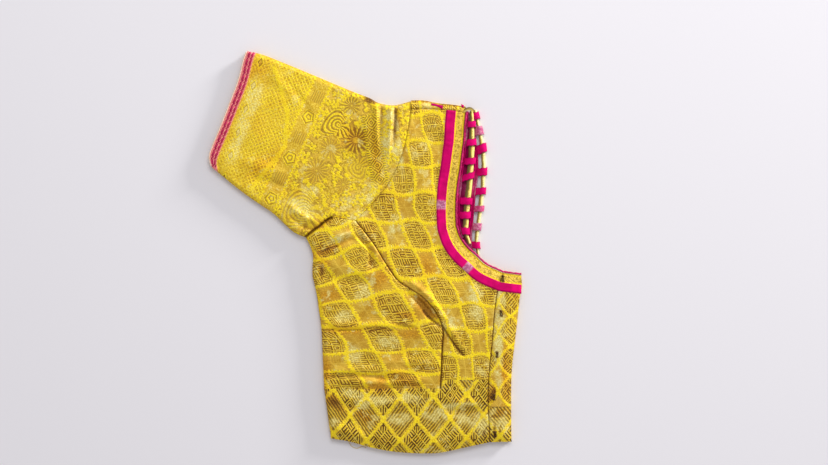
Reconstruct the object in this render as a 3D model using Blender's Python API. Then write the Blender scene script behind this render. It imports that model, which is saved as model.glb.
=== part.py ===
"""Brocade choli blouse, folded in half at the centre back with its fronts outside, and laid flat.

The right front and the right sleeve lie on top, right side up. Inside the neck show the edges of the two
back halves, each with a rolled cord held by satin tabs. The layers that don't show are one rounded solid.
Sizes are in millimetres. +X runs from the sleeve to the centre front, +Y from the hem to the shoulder.
"""

import math
from collections import namedtuple

import bmesh
import bpy
import numpy as np
from mathutils.geometry import delaunay_2d_cdt

MM = 0.001

# Cloth and layers.
WALL = 1.2
GAP = 0.3
BACK_WALL = 1.0
PILE = 9.0
FOLD_EDGE = 4.8
FOLD_ROLL = 5.0
CUT_EDGE = 6.2
CUT_ROLL = 14.0
DEEPEST_TROUGH = 1.6
EDGE_CALM = 8.0

# Trims.
BAND_INNER = 10.3
BAND_OUTER = 19.6
BAND_WALL = 1.0
TRIM_LIFT = 0.5
PIPING_RADIUS = 0.9
PIPING_HEIGHT = 6.3
BRAID_WIDTH = 8.5
BRAID_WALL = 1.6
UNDER_HEM_SHOWS = 1.6
NECK_TUCK = 3.5

# Sections across the lower body, from the underarm down to the belt.
BodySection = namedtuple("BodySection", "name side_x side_y seam_x seam_y right_x right_y")
BODY = [
    BodySection("underarm", -65.0, 16.5, -10.5, 34.0, 97.5, 28.5),
    BodySection("side hollow", -60.0, 6.5, 3.5, 16.5, 102.0, 15.5),
    BodySection("side swell", -57.0, -4.0, 13.5, 2.0, 110.0, 4.5),
    BodySection("above bust", -57.5, -15.0, 23.0, -13.5, 120.0, -4.5),
    BodySection("bust", -57.5, -25.5, 34.5, -29.5, 130.5, -14.0),
    BodySection("placket top", -55.5, -34.5, 47.0, -38.5, 149.0, -22.5),
    BodySection("pleat lip", -53.0, -46.0, 63.0, -49.5, 144.5, -35.5),
    BodySection("pleat middle", -51.0, -60.5, 75.0, -63.5, 141.0, -51.5),
    BodySection("pleat end", -48.0, -82.0, 83.5, -82.0, 138.5, -75.5),
    BodySection("rib", -47.0, -101.5, 83.0, -101.5, 136.5, -101.5),
    BodySection("waist", -46.0, -125.0, 82.0, -125.0, 134.0, -124.0),
    BodySection("belt seam", -45.0, -147.5, 81.0, -147.0, 132.5, -147.0),
]
PLACKET_TOP = 5

# Sections across the chest, from the foot of the armhole up to the shoulder.
ChestSection = namedtuple("ChestSection", "name arm_x arm_y neck_x neck_y")
CHEST = [
    ChestSection("armhole foot", -10.5, 34.0, 97.5, 28.5),
    ChestSection("armhole curve", 5.0, 50.5, 97.0, 43.5),
    ChestSection("lower chest", 20.0, 67.5, 97.5, 59.5),
    ChestSection("chest", 31.5, 86.5, 99.0, 74.5),
    ChestSection("upper chest", 38.5, 103.0, 101.5, 90.0),
    ChestSection("armhole waist", 43.0, 119.0, 103.5, 105.0),
    ChestSection("upper armhole", 46.0, 133.5, 105.5, 120.0),
    ChestSection("below shoulder", 48.0, 146.0, 106.5, 136.5),
    ChestSection("shoulder seam", 49.0, 155.0, 108.0, 151.5),
]

# The placket's sections, from the neck down to the hem.
PlacketSection = namedtuple("PlacketSection", "name seam_x seam_y edge_x edge_y")
PLACKET = [
    PlacketSection("neck", 149.0, -22.5, 168.5, -25.0),
    PlacketSection("band", 144.5, -35.5, 169.0, -37.5),
    PlacketSection("first eye", 141.0, -51.5, 166.5, -51.5),
    PlacketSection("bust", 138.5, -75.5, 164.0, -75.5),
    PlacketSection("rib", 136.5, -101.5, 161.0, -101.5),
    PlacketSection("waist", 134.0, -124.0, 158.5, -124.0),
    PlacketSection("belt level", 132.5, -147.0, 157.5, -147.0),
    PlacketSection("belt seam", 132.5, -167.0, 157.5, -167.0),
    PlacketSection("belt", 133.5, -185.5, 157.5, -185.5),
    PlacketSection("hem", 134.5, -205.5, 158.0, -205.0),
]
PLACKET_BELT_LEVEL = 6
PLACKET_BELT_SEAM = 7

# Stations along the waist belt, from the side seam to the placket.
BeltStation = namedtuple("BeltStation", "name hem_x hem_y")
BELT = [
    BeltStation("side seam", -37.5, -201.5),
    BeltStation("side back", -19.0, -204.5),
    BeltStation("side front", 5.0, -211.0),
    BeltStation("front", 29.0, -215.5),
    BeltStation("below bust", 54.5, -217.5),
    BeltStation("waist seam", 79.5, -217.0),
    BeltStation("centre", 106.5, -211.5),
    BeltStation("placket", 134.5, -205.5),
]
BELT_WAIST_SEAM = 5

# The armhole seam under the arm, from the princess seam to the side seam.
SeamPlace = namedtuple("SeamPlace", "name x y")
LOWER_ARMHOLE = [
    SeamPlace("princess seam", -10.5, 34.0),
    SeamPlace("under the arm", -21.0, 36.5),
    SeamPlace("crease end", -36.5, 37.5),
    SeamPlace("crease", -51.5, 27.0),
    SeamPlace("side seam", -65.0, 16.5),
]

# Sections across the sleeve, from its hem to its cap: top fold and bottom fold.
SleeveSection = namedtuple("SleeveSection", "name top_x top_y bottom_x bottom_y")
SLEEVE = [
    SleeveSection("hem", -128.5, 217.5, -167.0, 92.5),
    SleeveSection("border", -112.0, 214.0, -153.5, 81.0),
    SleeveSection("border top", -92.5, 206.5, -140.0, 70.0),
    SleeveSection("lower sleeve", -70.5, 197.5, -126.0, 59.5),
    SleeveSection("sleeve", -49.0, 188.5, -112.0, 50.0),
    SleeveSection("upper sleeve", -27.5, 179.5, -99.0, 41.0),
    SleeveSection("under cap", -10.5, 172.5, -87.5, 30.0),
    SleeveSection("nook", 4.0, 167.0, -79.0, 22.5),
    SleeveSection("outer pleat", 13.0, 162.0, -74.0, 19.4),
    SleeveSection("inner pleat", 24.0, 159.4, -70.0, 17.7),
    SleeveSection("cap hollow", 34.0, 159.4, -67.5, 17.0),
    SleeveSection("cap seam", 49.0, 163.5, -65.0, 16.5),
]
SLEEVE_HEM = [
    SeamPlace("top fold", -128.5, 217.5),
    SeamPlace("top", -132.0, 207.5),
    SeamPlace("upper", -137.5, 186.0),
    SeamPlace("upper middle", -146.5, 162.0),
    SeamPlace("lower middle", -156.5, 136.5),
    SeamPlace("lower", -166.0, 113.5),
    SeamPlace("turn", -169.0, 103.0),
    SeamPlace("bottom fold", -167.0, 92.5),
]

# Stations along the shoulder fold: its seam to the front and its folded top edge.
ShoulderStation = namedtuple("ShoulderStation", "name seam_x seam_y fold_x fold_y")
SHOULDER = [
    ShoulderStation("cap", 49.0, 155.0, 49.0, 163.5),
    ShoulderStation("peak", 63.0, 155.5, 63.0, 163.5),
    ShoulderStation("pink strip", 78.5, 154.5, 78.5, 160.5),
    ShoulderStation("band", 93.5, 153.5, 93.5, 159.0),
    ShoulderStation("neck", 108.0, 151.5, 108.0, 157.0),
]

# The back's pink strip where it shows on the shoulder fold.
BandPlace = namedtuple("BandPlace", "x y width lean")
SHOULDER_BAND = [
    BandPlace(71.5, 161.0, 1.8, 0.0),
    BandPlace(76.0, 160.0, 2.2, 0.0),
    BandPlace(80.0, 158.8, 2.8, -0.8),
    BandPlace(83.5, 158.0, 3.0, -1.2),
]

# Swells of the pile over its plain thickness.
Mound = namedtuple("Mound", "name x y reach_x reach_y rise")
MOUNDS = [
    Mound("bust", 60.0, -58.0, 62.0, 50.0, 3.6),
    Mound("sleeve cap", 22.0, 128.0, 28.0, 36.0, 3.4),
    Mound("underarm", -30.0, 16.0, 32.0, 28.0, 2.6),
    Mound("shoulder", 82.0, 134.0, 36.0, 26.0, 1.0),
    Mound("sleeve", -82.0, 124.0, 60.0, 46.0, 1.0),
    Mound("waist", 20.0, -128.0, 70.0, 26.0, 0.8),
]

# The largest folds, each from its start to its end. A rise below zero is a trough.
Fold = namedtuple("Fold", "name start_x start_y end_x end_y width rise")
FOLDS = [
    Fold("cap pleat, outer", 13.0, 158.0, 13.5, 104.0, 4.4, 2.4),
    Fold("cap pleat valley", 18.5, 158.0, 18.5, 106.0, 3.0, -1.4),
    Fold("cap pleat, inner", 25.0, 160.0, 23.5, 100.0, 4.4, 3.4),
    Fold("cap hollow", 33.5, 160.0, 31.5, 112.0, 4.0, -1.6),
    Fold("under the arm", -66.0, 15.5, -36.0, 38.0, 4.5, -1.6),
    Fold("side ridge", -36.0, 12.5, -12.0, 23.5, 5.0, 1.8),
    Fold("side crease", -11.0, 18.0, 5.0, -20.0, 5.5, -1.4),
    Fold("bust pleat lip", 50.0, -24.0, 94.0, -74.0, 5.5, 3.0),
    Fold("bust pleat hollow", 50.0, -50.0, 78.0, -84.0, 6.0, -1.6),
    Fold("below the pleat", 82.0, -78.0, 108.0, -114.0, 5.5, -1.4),
    Fold("rib fold", -38.0, -84.0, 32.0, -84.0, 6.0, -1.0),
    Fold("waist fold, upper", -34.0, -132.0, 66.0, -136.0, 7.0, 1.2),
    Fold("waist fold, lower", -30.0, -142.0, 60.0, -147.0, 6.0, -1.0),
]

# The hidden layers' rim, from the floor up: how far each level lies inside the outline.
RimLevel = namedtuple("RimLevel", "name height inset")
RIM = [
    RimLevel("floor", 0.0, 1.6),
    RimLevel("lower pair", 1.1, 0.0),
    RimLevel("lower pair top", 1.9, 0.6),
    RimLevel("groove", 2.1, 1.6),
    RimLevel("upper pair", 2.8, 0.2),
    RimLevel("upper pair top", 3.5, 0.8),
    RimLevel("ledge", 3.7, 2.2),
]
TOP_INSETS = (2.2, 3.4, 4.9)
HIDDEN_NECK_INSET = 4.0
HIDDEN_GRID = 13.0
LAST_LADDER_Y = -6.0

# Each back half's piped neck edge and the cord beside it, from the shoulder down.
LadderPlace = namedtuple("LadderPlace", "name edge_x edge_y cord_x cord_y cord_half_width")
UPPER_LADDER = [
    LadderPlace("shoulder", 110.6, 150.0, 115.0, 150.0, 2.2),
    LadderPlace("first tab", 110.0, 137.0, 114.9, 138.0, 2.5),
    LadderPlace("second tab", 108.8, 120.0, 114.8, 121.0, 3.2),
    LadderPlace("third tab", 107.0, 103.0, 114.5, 104.0, 3.4),
    LadderPlace("fourth tab", 105.0, 89.0, 113.0, 89.0, 3.4),
    LadderPlace("middle", 103.6, 74.5, 112.0, 71.0, 3.5),
    LadderPlace("fifth tab", 101.9, 59.5, 110.0, 53.0, 3.4),
    LadderPlace("sixth tab", 101.3, 44.5, 108.5, 37.0, 3.3),
    LadderPlace("seventh tab", 102.0, 29.5, 108.3, 22.0, 2.6),
    LadderPlace("end", 105.3, 15.5, 112.6, 9.0, 2.0),
]
LOWER_LADDER = [
    LadderPlace("shoulder", 115.5, 149.5, 119.6, 152.0, 1.6),
    LadderPlace("first tab", 117.0, 138.5, 122.0, 137.0, 2.0),
    LadderPlace("second tab", 119.0, 121.0, 125.4, 121.0, 2.3),
    LadderPlace("third tab", 121.0, 101.5, 127.6, 103.0, 2.4),
    LadderPlace("middle", 121.0, 83.5, 127.5, 86.0, 2.4),
    LadderPlace("fifth tab", 118.7, 65.0, 126.4, 68.0, 2.4),
    LadderPlace("sixth tab", 117.0, 47.5, 124.4, 48.5, 2.4),
    LadderPlace("seventh tab", 115.5, 30.5, 121.8, 29.5, 2.2),
    LadderPlace("eighth tab", 114.3, 15.5, 120.0, 13.5, 2.0),
    LadderPlace("end", 115.6, 2.5, 122.0, -3.0, 1.6),
]
Tab = namedtuple("Tab", "y width")
UPPER_TABS = [
    Tab(138.0, 7.0), Tab(118.0, 7.6), Tab(98.0, 7.6), Tab(79.5, 7.6), Tab(55.5, 8.0), Tab(40.0, 8.0), Tab(23.0, 8.0),
]
LOWER_TABS = [
    Tab(145.0, 7.0), Tab(131.0, 10.0), Tab(110.0, 11.0), Tab(86.5, 8.6), Tab(65.5, 8.0), Tab(47.0, 6.6),
    Tab(27.5, 8.0), Tab(8.0, 7.6),
]
LadderLevel = namedtuple("LadderLevel", "piping_z piping_radius cloth_z cloth_edge_z cord_z cord_half_height")
UPPER_LEVEL = LadderLevel(4.0, 1.0, 4.6, 4.5, 5.9, 2.0)
LOWER_LEVEL = LadderLevel(2.1, 1.0, 3.1, 2.6, 2.6, 2.2)
TAB_WALL = 0.9
TAB_CLEAR = 0.75
TAB_ANGLES = [math.radians(angle) for angle in (150, 120, 90, 60, 30, 0, -18)]

# The eyes on the placket.
HookEye = namedtuple("HookEye", "name x y")
HOOK_EYES = [
    HookEye("hook_eye_1", 148.5, -28.5),
    HookEye("hook_eye_2", 146.5, -66.0),
    HookEye("hook_eye_3", 142.0, -110.5),
    HookEye("hook_eye_4", 138.8, -156.5),
    HookEye("hook_eye_5", 140.0, -196.5),
]
EYE_LENGTH = 7.5
EYE_WIDTH = 2.8
EYE_WIRE = 0.55
EYE_STATIONS = 10
WIRE_SIDES = 4

# Points along and across the pieces.
STEPS_PER_SECTION = 2
PLACKET_COLUMNS = 3
SHOULDER_STEPS = 3
BELT_ROWS = (len(PLACKET) - 1 - PLACKET_BELT_LEVEL) * STEPS_PER_SECTION
ROLL_STEPS = (1.0, 2.8)
SLOPE_INSET = 0.6
PIPING_SIDES = 6
CORD_SIDES = 8
NECK_TRIM_STEPS = 40
FINE_STEPS = 400


def clear_scene():
    for thing in list(bpy.data.objects):
        bpy.data.objects.remove(thing, do_unlink=True)


def smooth_line(places, steps):
    """Points on a smooth line through the places, with so many steps from each place to the next."""
    p = np.array(places, float)
    ends = np.vstack([2 * p[0] - p[1], p, 2 * p[-1] - p[-2]])
    points = [p[0]]
    for i in range(len(p) - 1):
        a, b, c, d = ends[i : i + 4]
        for k in range(1, steps + 1):
            t = k / steps
            points.append(
                0.5 * (2 * b + (c - a) * t + (2 * a - 5 * b + 4 * c - d) * t**2 + (3 * b - a - 3 * c + d) * t**3)
            )
    return np.array(points)


def straight_line(start, end, steps):
    t = np.linspace(0, 1, steps + 1)[:, None]
    return np.array(start) * (1 - t) + np.array(end) * t


def column(table, *names):
    return [tuple(getattr(row, name) for name in names) for row in table]


class Seams:
    """Every seam and edge as a line of points. Neighbouring pieces read the same points."""

    body_side = smooth_line(column(BODY, "side_x", "side_y"), STEPS_PER_SECTION)
    princess = smooth_line(column(BODY, "seam_x", "seam_y"), STEPS_PER_SECTION)
    neck_to_placket = smooth_line(column(BODY[: PLACKET_TOP + 1], "right_x", "right_y"), STEPS_PER_SECTION)
    placket_seam = smooth_line(column(PLACKET, "seam_x", "seam_y"), STEPS_PER_SECTION)
    front_edge = smooth_line(column(PLACKET, "edge_x", "edge_y"), STEPS_PER_SECTION)
    armhole = smooth_line(column(CHEST, "arm_x", "arm_y"), STEPS_PER_SECTION)
    neck = smooth_line(column(CHEST, "neck_x", "neck_y"), STEPS_PER_SECTION)
    lower_armhole = smooth_line(column(LOWER_ARMHOLE, "x", "y"), STEPS_PER_SECTION)
    hem = smooth_line(column(BELT, "hem_x", "hem_y"), STEPS_PER_SECTION)
    sleeve_top = smooth_line(column(SLEEVE, "top_x", "top_y"), STEPS_PER_SECTION)
    sleeve_bottom = smooth_line(column(SLEEVE, "bottom_x", "bottom_y"), STEPS_PER_SECTION)
    sleeve_hem = smooth_line(column(SLEEVE_HEM, "x", "y"), STEPS_PER_SECTION)
    shoulder_seam = smooth_line(column(SHOULDER, "seam_x", "seam_y"), SHOULDER_STEPS)
    shoulder_fold = smooth_line(column(SHOULDER, "fold_x", "fold_y"), SHOULDER_STEPS)
    neck_end = straight_line(PLACKET[0][1:3], PLACKET[0][3:5], PLACKET_COLUMNS)
    placket_hem = straight_line(PLACKET[-1][1:3], PLACKET[-1][3:5], PLACKET_COLUMNS)
    belt_side = straight_line(BODY[-1][1:3], BELT[0][1:3], BELT_ROWS)
    shoulder_end = np.array([SHOULDER[-1][3:5], SHOULDER[-1][1:3]])


def joined(*lines):
    """One line from several that follow each other end to end."""
    return np.vstack([lines[0]] + [line[1:] for line in lines[1:]])


# The neck's edge from the shoulder to the centre front.
NECK_EDGE = joined(Seams.neck[::-1], Seams.neck_to_placket, Seams.neck_end)

# The outline, clockwise from the top of the sleeve's hem: its folded runs and its cut runs.
TOP_RUN = joined(Seams.sleeve_top, Seams.shoulder_fold)
NECK_RUN = joined(Seams.shoulder_end, NECK_EDGE)
HEM_RUN = joined(Seams.hem, Seams.placket_hem)
SIDE_RUN = joined(Seams.body_side, Seams.belt_side)
FOLDED_RUNS = [TOP_RUN, SIDE_RUN, Seams.sleeve_bottom]
CUT_RUNS = [NECK_RUN, Seams.front_edge, HEM_RUN, Seams.sleeve_hem]
OUTLINE = joined(
    TOP_RUN, NECK_RUN, Seams.front_edge, HEM_RUN[::-1], SIDE_RUN[::-1], Seams.sleeve_bottom[::-1],
    Seams.sleeve_hem[::-1],
)[:-1]


def distance_to(points, line):
    start = line[:-1][None]
    along = (line[1:] - line[:-1])[None]
    offset = points[:, None] - start
    t = np.clip((offset * along).sum(2) / (along**2).sum(2), 0, 1)[..., None]
    return np.sqrt(((offset - t * along) ** 2).sum(2)).min(1)


def bulk_height(points):
    """Top of the pile without its folds: rolled down at folded edges and thinner at cut ones."""
    x, y = points[:, 0], points[:, 1]
    full = np.full(len(points), PILE)
    for mound in MOUNDS:
        full += mound.rise * np.exp(-(((x - mound.x) / mound.reach_x) ** 2) - ((y - mound.y) / mound.reach_y) ** 2)
    height = full
    for run in FOLDED_RUNS:
        inward = np.clip(distance_to(points, run) / FOLD_ROLL, 0, 1)
        height = np.minimum(height, FOLD_EDGE + (full - FOLD_EDGE) * np.sqrt(1 - (1 - inward) ** 2))
    for run in CUT_RUNS:
        inward = np.clip(distance_to(points, run) / CUT_ROLL, 0, 1)
        height = np.minimum(height, CUT_EDGE + (full - CUT_EDGE) * np.sin(inward * math.pi / 2))
    return height


def edge_calm(points):
    """0 on the outline, 1 well inside it, so that folds die out at the edges."""
    inside = np.min([distance_to(points, run) for run in FOLDED_RUNS + CUT_RUNS], axis=0)
    t = np.clip(inside / EDGE_CALM, 0, 1)
    return t * t * (3 - 2 * t)


def fold_height(points):
    total = np.zeros(len(points))
    for fold in FOLDS:
        start = np.array([fold.start_x, fold.start_y])
        along = np.array([fold.end_x, fold.end_y]) - start
        t = np.clip(((points - start) @ along) / (along @ along), 0, 1)
        across = np.linalg.norm(points - start - t[:, None] * along, axis=1)
        total += fold.rise * np.sin(math.pi * t) ** 0.5 * np.exp(-((across / fold.width) ** 2))
    return np.maximum(total, -DEEPEST_TROUGH)


def cloth_height(points):
    return bulk_height(points) + fold_height(points) * edge_calm(points)


def cloth_normal(points, height=cloth_height, step=0.4):
    """Upward normals of the cloth, from its slope each way."""
    right, up = np.array([step, 0]), np.array([0, step])
    slope_x = (height(points + right) - height(points - right)) / (2 * step)
    slope_y = (height(points + up) - height(points - up)) / (2 * step)
    normal = np.stack([-slope_x, -slope_y, np.ones(len(points))], axis=1)
    return normal / np.linalg.norm(normal, axis=1)[:, None]


def patch(left, right, start, end):
    """Grid of points between four lines: row i runs from left[i] to right[i], and the first and last rows
    follow the start and end lines (a Coons patch)."""
    v = np.linspace(0, 1, len(left))[:, None, None]
    u = np.linspace(0, 1, len(start))[None, :, None]
    ruled = left[:, None] * (1 - u) + right[:, None] * u
    lofted = start[None] * (1 - v) + end[None] * v
    corners = (left[0] * (1 - u) + right[0] * u) * (1 - v) + (left[-1] * (1 - u) + right[-1] * u) * v
    return ruled + lofted - corners


def roll_left(grid):
    """Extra columns close to a folded left side, so that the wall rolls down round."""
    edge = grid[:, 0]
    unit = (grid[:, 1] - edge) / np.linalg.norm(grid[:, 1] - edge, axis=1)[:, None]
    extra = np.stack([edge + unit * step for step in ROLL_STEPS], axis=1)
    return np.concatenate([grid[:, :1], extra, grid[:, 1:]], axis=1)


def roll_right(grid):
    return roll_left(grid[:, ::-1])[:, ::-1]


SIDES = {
    "left": (np.s_[:, 0], np.s_[:, 1]),
    "right": (np.s_[:, -1], np.s_[:, -2]),
    "start": (np.s_[0], np.s_[1]),
    "end": (np.s_[-1], np.s_[-2]),
}


def drawn_in(grid, *sides, distance=GAP / 2):
    """Draws the named sides in. Half a gap on each of two neighbours leaves them GAP apart at their seam."""
    grid = grid.copy()
    for side in sides:
        edge, inner = SIDES[side]
        step = grid[inner] - grid[edge]
        grid[edge] += step / np.linalg.norm(step, axis=-1)[..., None] * distance
    return grid


def make_object(name, vertices, faces, material):
    mesh = bpy.data.meshes.new(name)
    mesh.from_pydata([tuple(v) for v in np.asarray(vertices) * MM], [], faces)
    build = bmesh.new()
    build.from_mesh(mesh)
    bmesh.ops.recalc_face_normals(build, faces=build.faces)
    build.to_mesh(mesh)
    build.free()
    mesh.materials.append(material)
    mesh.shade_smooth()
    mesh.set_sharp_from_angle(angle=math.radians(45))
    thing = bpy.data.objects.new(name, mesh)
    bpy.context.scene.collection.objects.link(thing)
    return thing


def wall_from_grids(name, outer, inner, material):
    """Closed wall between two grids of points of the same size."""
    rows, columns = outer.shape[:2]
    count = rows * columns
    index = np.arange(count).reshape(rows, columns)
    faces = []
    for i in range(rows - 1):
        for j in range(columns - 1):
            quad = [index[i, j], index[i, j + 1], index[i + 1, j + 1], index[i + 1, j]]
            faces.append([int(k) for k in quad])
            faces.append([int(k) + count for k in reversed(quad)])
    rim = [*index[0], *index[1:, -1], *index[-1, -2::-1], *index[-2:0:-1, 0]]
    for a, b in zip(rim, rim[1:] + rim[:1]):
        faces.append([int(b), int(a), int(a) + count, int(b) + count])
    vertices = np.vstack([outer.reshape(-1, 3), inner.reshape(-1, 3)])
    return make_object(name, vertices, faces, material)


def surface(grid):
    """The grid's points on the cloth's top, and the cloth's normals there. The slope is read a little inside
    the grid's edges, where the roll is well defined."""
    flat = grid.reshape(-1, 2)
    normal = cloth_normal(drawn_in(grid, *SIDES, distance=SLOPE_INSET).reshape(-1, 2))
    points = np.column_stack([flat, cloth_height(flat)])
    return points.reshape(*grid.shape[:2], 3), normal.reshape(*grid.shape[:2], 3)


def cloth_wall(name, grid, material, wall=WALL):
    """A panel's wall: its outer points on the pile's top and its inner ones a wall's thickness below."""
    outer, normal = surface(grid)
    return wall_from_grids(name, outer, outer - wall * normal, material)


def laid_wall(name, grid, material, wall):
    """A trim laid on a panel: the panel's points, moved out."""
    points, normal = surface(grid)
    inner = points + TRIM_LIFT * normal
    return wall_from_grids(name, inner + wall * normal, inner, material)


def sideways(line):
    """Unit vectors across a line, to the right of its direction."""
    along = np.gradient(line, axis=0)
    along /= np.linalg.norm(along, axis=1)[:, None]
    return np.column_stack([along[:, 1], -along[:, 0]])


def tube(name, centres, across, half_width, half_height, sides, material):
    """Closed tube of an oval section: centres in 3-D, across in the plane of the floor."""
    angles = [2 * math.pi * k / sides for k in range(sides)]
    half_width = np.broadcast_to(half_width, len(centres))
    vertices = [
        (c[0] + a[0] * w * math.cos(t), c[1] + a[1] * w * math.cos(t), c[2] + half_height * math.sin(t))
        for c, a, w in zip(centres, across, half_width)
        for t in angles
    ]
    faces = [list(range(sides)), [(len(centres) - 1) * sides + k for k in range(sides)]]
    for i in range(len(centres) - 1):
        for k in range(sides):
            a, b = i * sides + k, i * sides + (k + 1) % sides
            faces.append([a, b, b + sides, a + sides])
    return make_object(name, vertices, faces, material)


def material(name, colour, roughness, metallic):
    made = bpy.data.materials.new(name)
    made.use_nodes = True
    shader = made.node_tree.nodes["Principled BSDF"]
    shader.inputs["Base Color"].default_value = (*colour, 1)
    shader.inputs["Roughness"].default_value = roughness
    shader.inputs["Metallic"].default_value = metallic
    return made


def resample(line, steps):
    """The same line with evenly spaced points."""
    run = np.concatenate([[0], np.cumsum(np.linalg.norm(np.diff(line, axis=0), axis=1))])
    at = np.linspace(0, run[-1], steps + 1)
    return np.column_stack([np.interp(at, run, line[:, 0]), np.interp(at, run, line[:, 1])])


def nearest_on(line, points):
    """The nearest point of a line to each of the points."""
    fine = resample(line, FINE_STEPS)
    return fine[np.linalg.norm(points[:, None] - fine[None], axis=2).argmin(1)]


def front_side_panel(brocade):
    columns = len(Seams.lower_armhole) - 1
    bottom = straight_line(BODY[-1][1:3], BODY[-1][3:5], columns)
    grid = patch(Seams.body_side, Seams.princess, Seams.lower_armhole[::-1], bottom)
    cloth_wall("front_side_panel", drawn_in(roll_left(grid), "right", "start", "end"), brocade)


def front_centre_panel(brocade):
    left = joined(Seams.armhole[::-1], Seams.princess)
    belt_level = PLACKET_BELT_LEVEL * STEPS_PER_SECTION
    right = joined(Seams.neck[::-1], Seams.neck_to_placket, Seams.placket_seam[: belt_level + 1])
    bottom = straight_line(left[-1], right[-1], len(Seams.shoulder_seam) - 1)
    grid = patch(left, right, Seams.shoulder_seam, bottom)
    cloth_wall("front_centre_panel", drawn_in(grid, "left", "right", "start", "end"), brocade)


def waist_belt(brocade):
    side_columns = len(Seams.lower_armhole) - 1
    centre_columns = len(Seams.shoulder_seam) - 1
    top = joined(
        straight_line(BODY[-1][1:3], BODY[-1][3:5], side_columns),
        straight_line(BODY[-1][3:5], BODY[-1][5:7], centre_columns),
    )
    waist_seam = BELT_WAIST_SEAM * STEPS_PER_SECTION
    hem = joined(
        resample(Seams.hem[: waist_seam + 1], side_columns),
        resample(Seams.hem[waist_seam:], centre_columns),
    )
    placket = Seams.placket_seam[PLACKET_BELT_LEVEL * STEPS_PER_SECTION :]
    grid = patch(Seams.belt_side, placket, top, hem)
    cloth_wall("waist_belt", drawn_in(roll_left(grid), "right", "start"), brocade)


def placket(brocade):
    """The placket down to the belt's seam, and its own piece below the seam."""
    seam = PLACKET_BELT_SEAM * STEPS_PER_SECTION
    across = straight_line(Seams.placket_seam[seam], Seams.front_edge[seam], PLACKET_COLUMNS)
    upper = patch(Seams.placket_seam[: seam + 1], Seams.front_edge[: seam + 1], Seams.neck_end, across)
    lower = patch(Seams.placket_seam[seam:], Seams.front_edge[seam:], across, Seams.placket_hem)
    cloth_wall("hook_placket", drawn_in(upper, "left", "end"), brocade)
    cloth_wall("placket_belt", drawn_in(lower, "left", "start"), brocade)


def sleeve_grid():
    cap = straight_line(SHOULDER[0][3:5], SHOULDER[0][1:3], 2)
    armhole = joined(cap, Seams.armhole[::-1], Seams.lower_armhole)
    hem = resample(Seams.sleeve_hem, len(armhole) - 1)
    grid = patch(Seams.sleeve_top, Seams.sleeve_bottom, hem, armhole)
    return drawn_in(roll_right(roll_left(grid)), "start", distance=UNDER_HEM_SHOWS)


def sleeve(brocade, braid):
    grid = sleeve_grid()
    cloth_wall("sleeve", drawn_in(grid, "end"), brocade)
    unit = (grid[1] - grid[0]) / np.linalg.norm(grid[1] - grid[0], axis=1)[:, None]
    strip = np.stack([grid[0] + unit * BRAID_WIDTH * share for share in (0, 0.5, 1)])
    laid_wall("sleeve_braid", strip, braid, BRAID_WALL)


def shoulder(brocade, satin):
    """The back's shoulder turned over the top, and the end of its pink strip on it."""
    grid = np.stack([Seams.shoulder_seam, Seams.shoulder_fold], axis=1)
    cloth_wall("shoulder_fold", drawn_in(roll_right(grid), "left", "start"), brocade)
    strip = np.array([[(b.x, b.y), (b.x + b.lean, b.y - b.width)] for b in SHOULDER_BAND])
    laid_wall("shoulder_band", strip, satin, BAND_WALL)


def neck_trims(satin, crimson):
    """The pink strip laid on the front beside the neck, and the piping on the neck's edge."""
    line = resample(NECK_EDGE, NECK_TRIM_STEPS)
    across = sideways(line)
    across[-1] = (0, -1)
    strip = np.stack([line + across * d for d in np.linspace(BAND_INNER, BAND_OUTER, 3)], axis=1)
    laid_wall("neck_band", strip, satin, BAND_WALL)
    centres = line - across * (GAP + PIPING_RADIUS)
    centres = np.column_stack([centres, np.full(len(line), PIPING_HEIGHT)])
    tube("neck_piping", centres, across, PIPING_RADIUS, PIPING_RADIUS, PIPING_SIDES, crimson)


def inset_outline(base, distance):
    """The closed outline moved in by a distance, more where base is."""
    back, ahead = OUTLINE - np.roll(OUTLINE, 1, axis=0), np.roll(OUTLINE, -1, axis=0) - OUTLINE
    back, ahead = (v / np.linalg.norm(v, axis=1)[:, None] for v in (back, ahead))
    along = back + ahead
    along /= np.linalg.norm(along, axis=1)[:, None]
    lean = np.clip((along * ahead).sum(1), 0.7, 1)
    inward = np.column_stack([along[:, 1], -along[:, 0]])
    return OUTLINE + inward * ((base + distance) / lean)[:, None]


def hidden_height(points):
    """Top of the hidden layers, under the walls and under their deepest troughs."""
    normal = cloth_normal(points, bulk_height)
    return bulk_height(points) - (WALL + 2 * GAP) / normal[:, 2] - (DEEPEST_TROUGH + GAP) * edge_calm(points)


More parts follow.
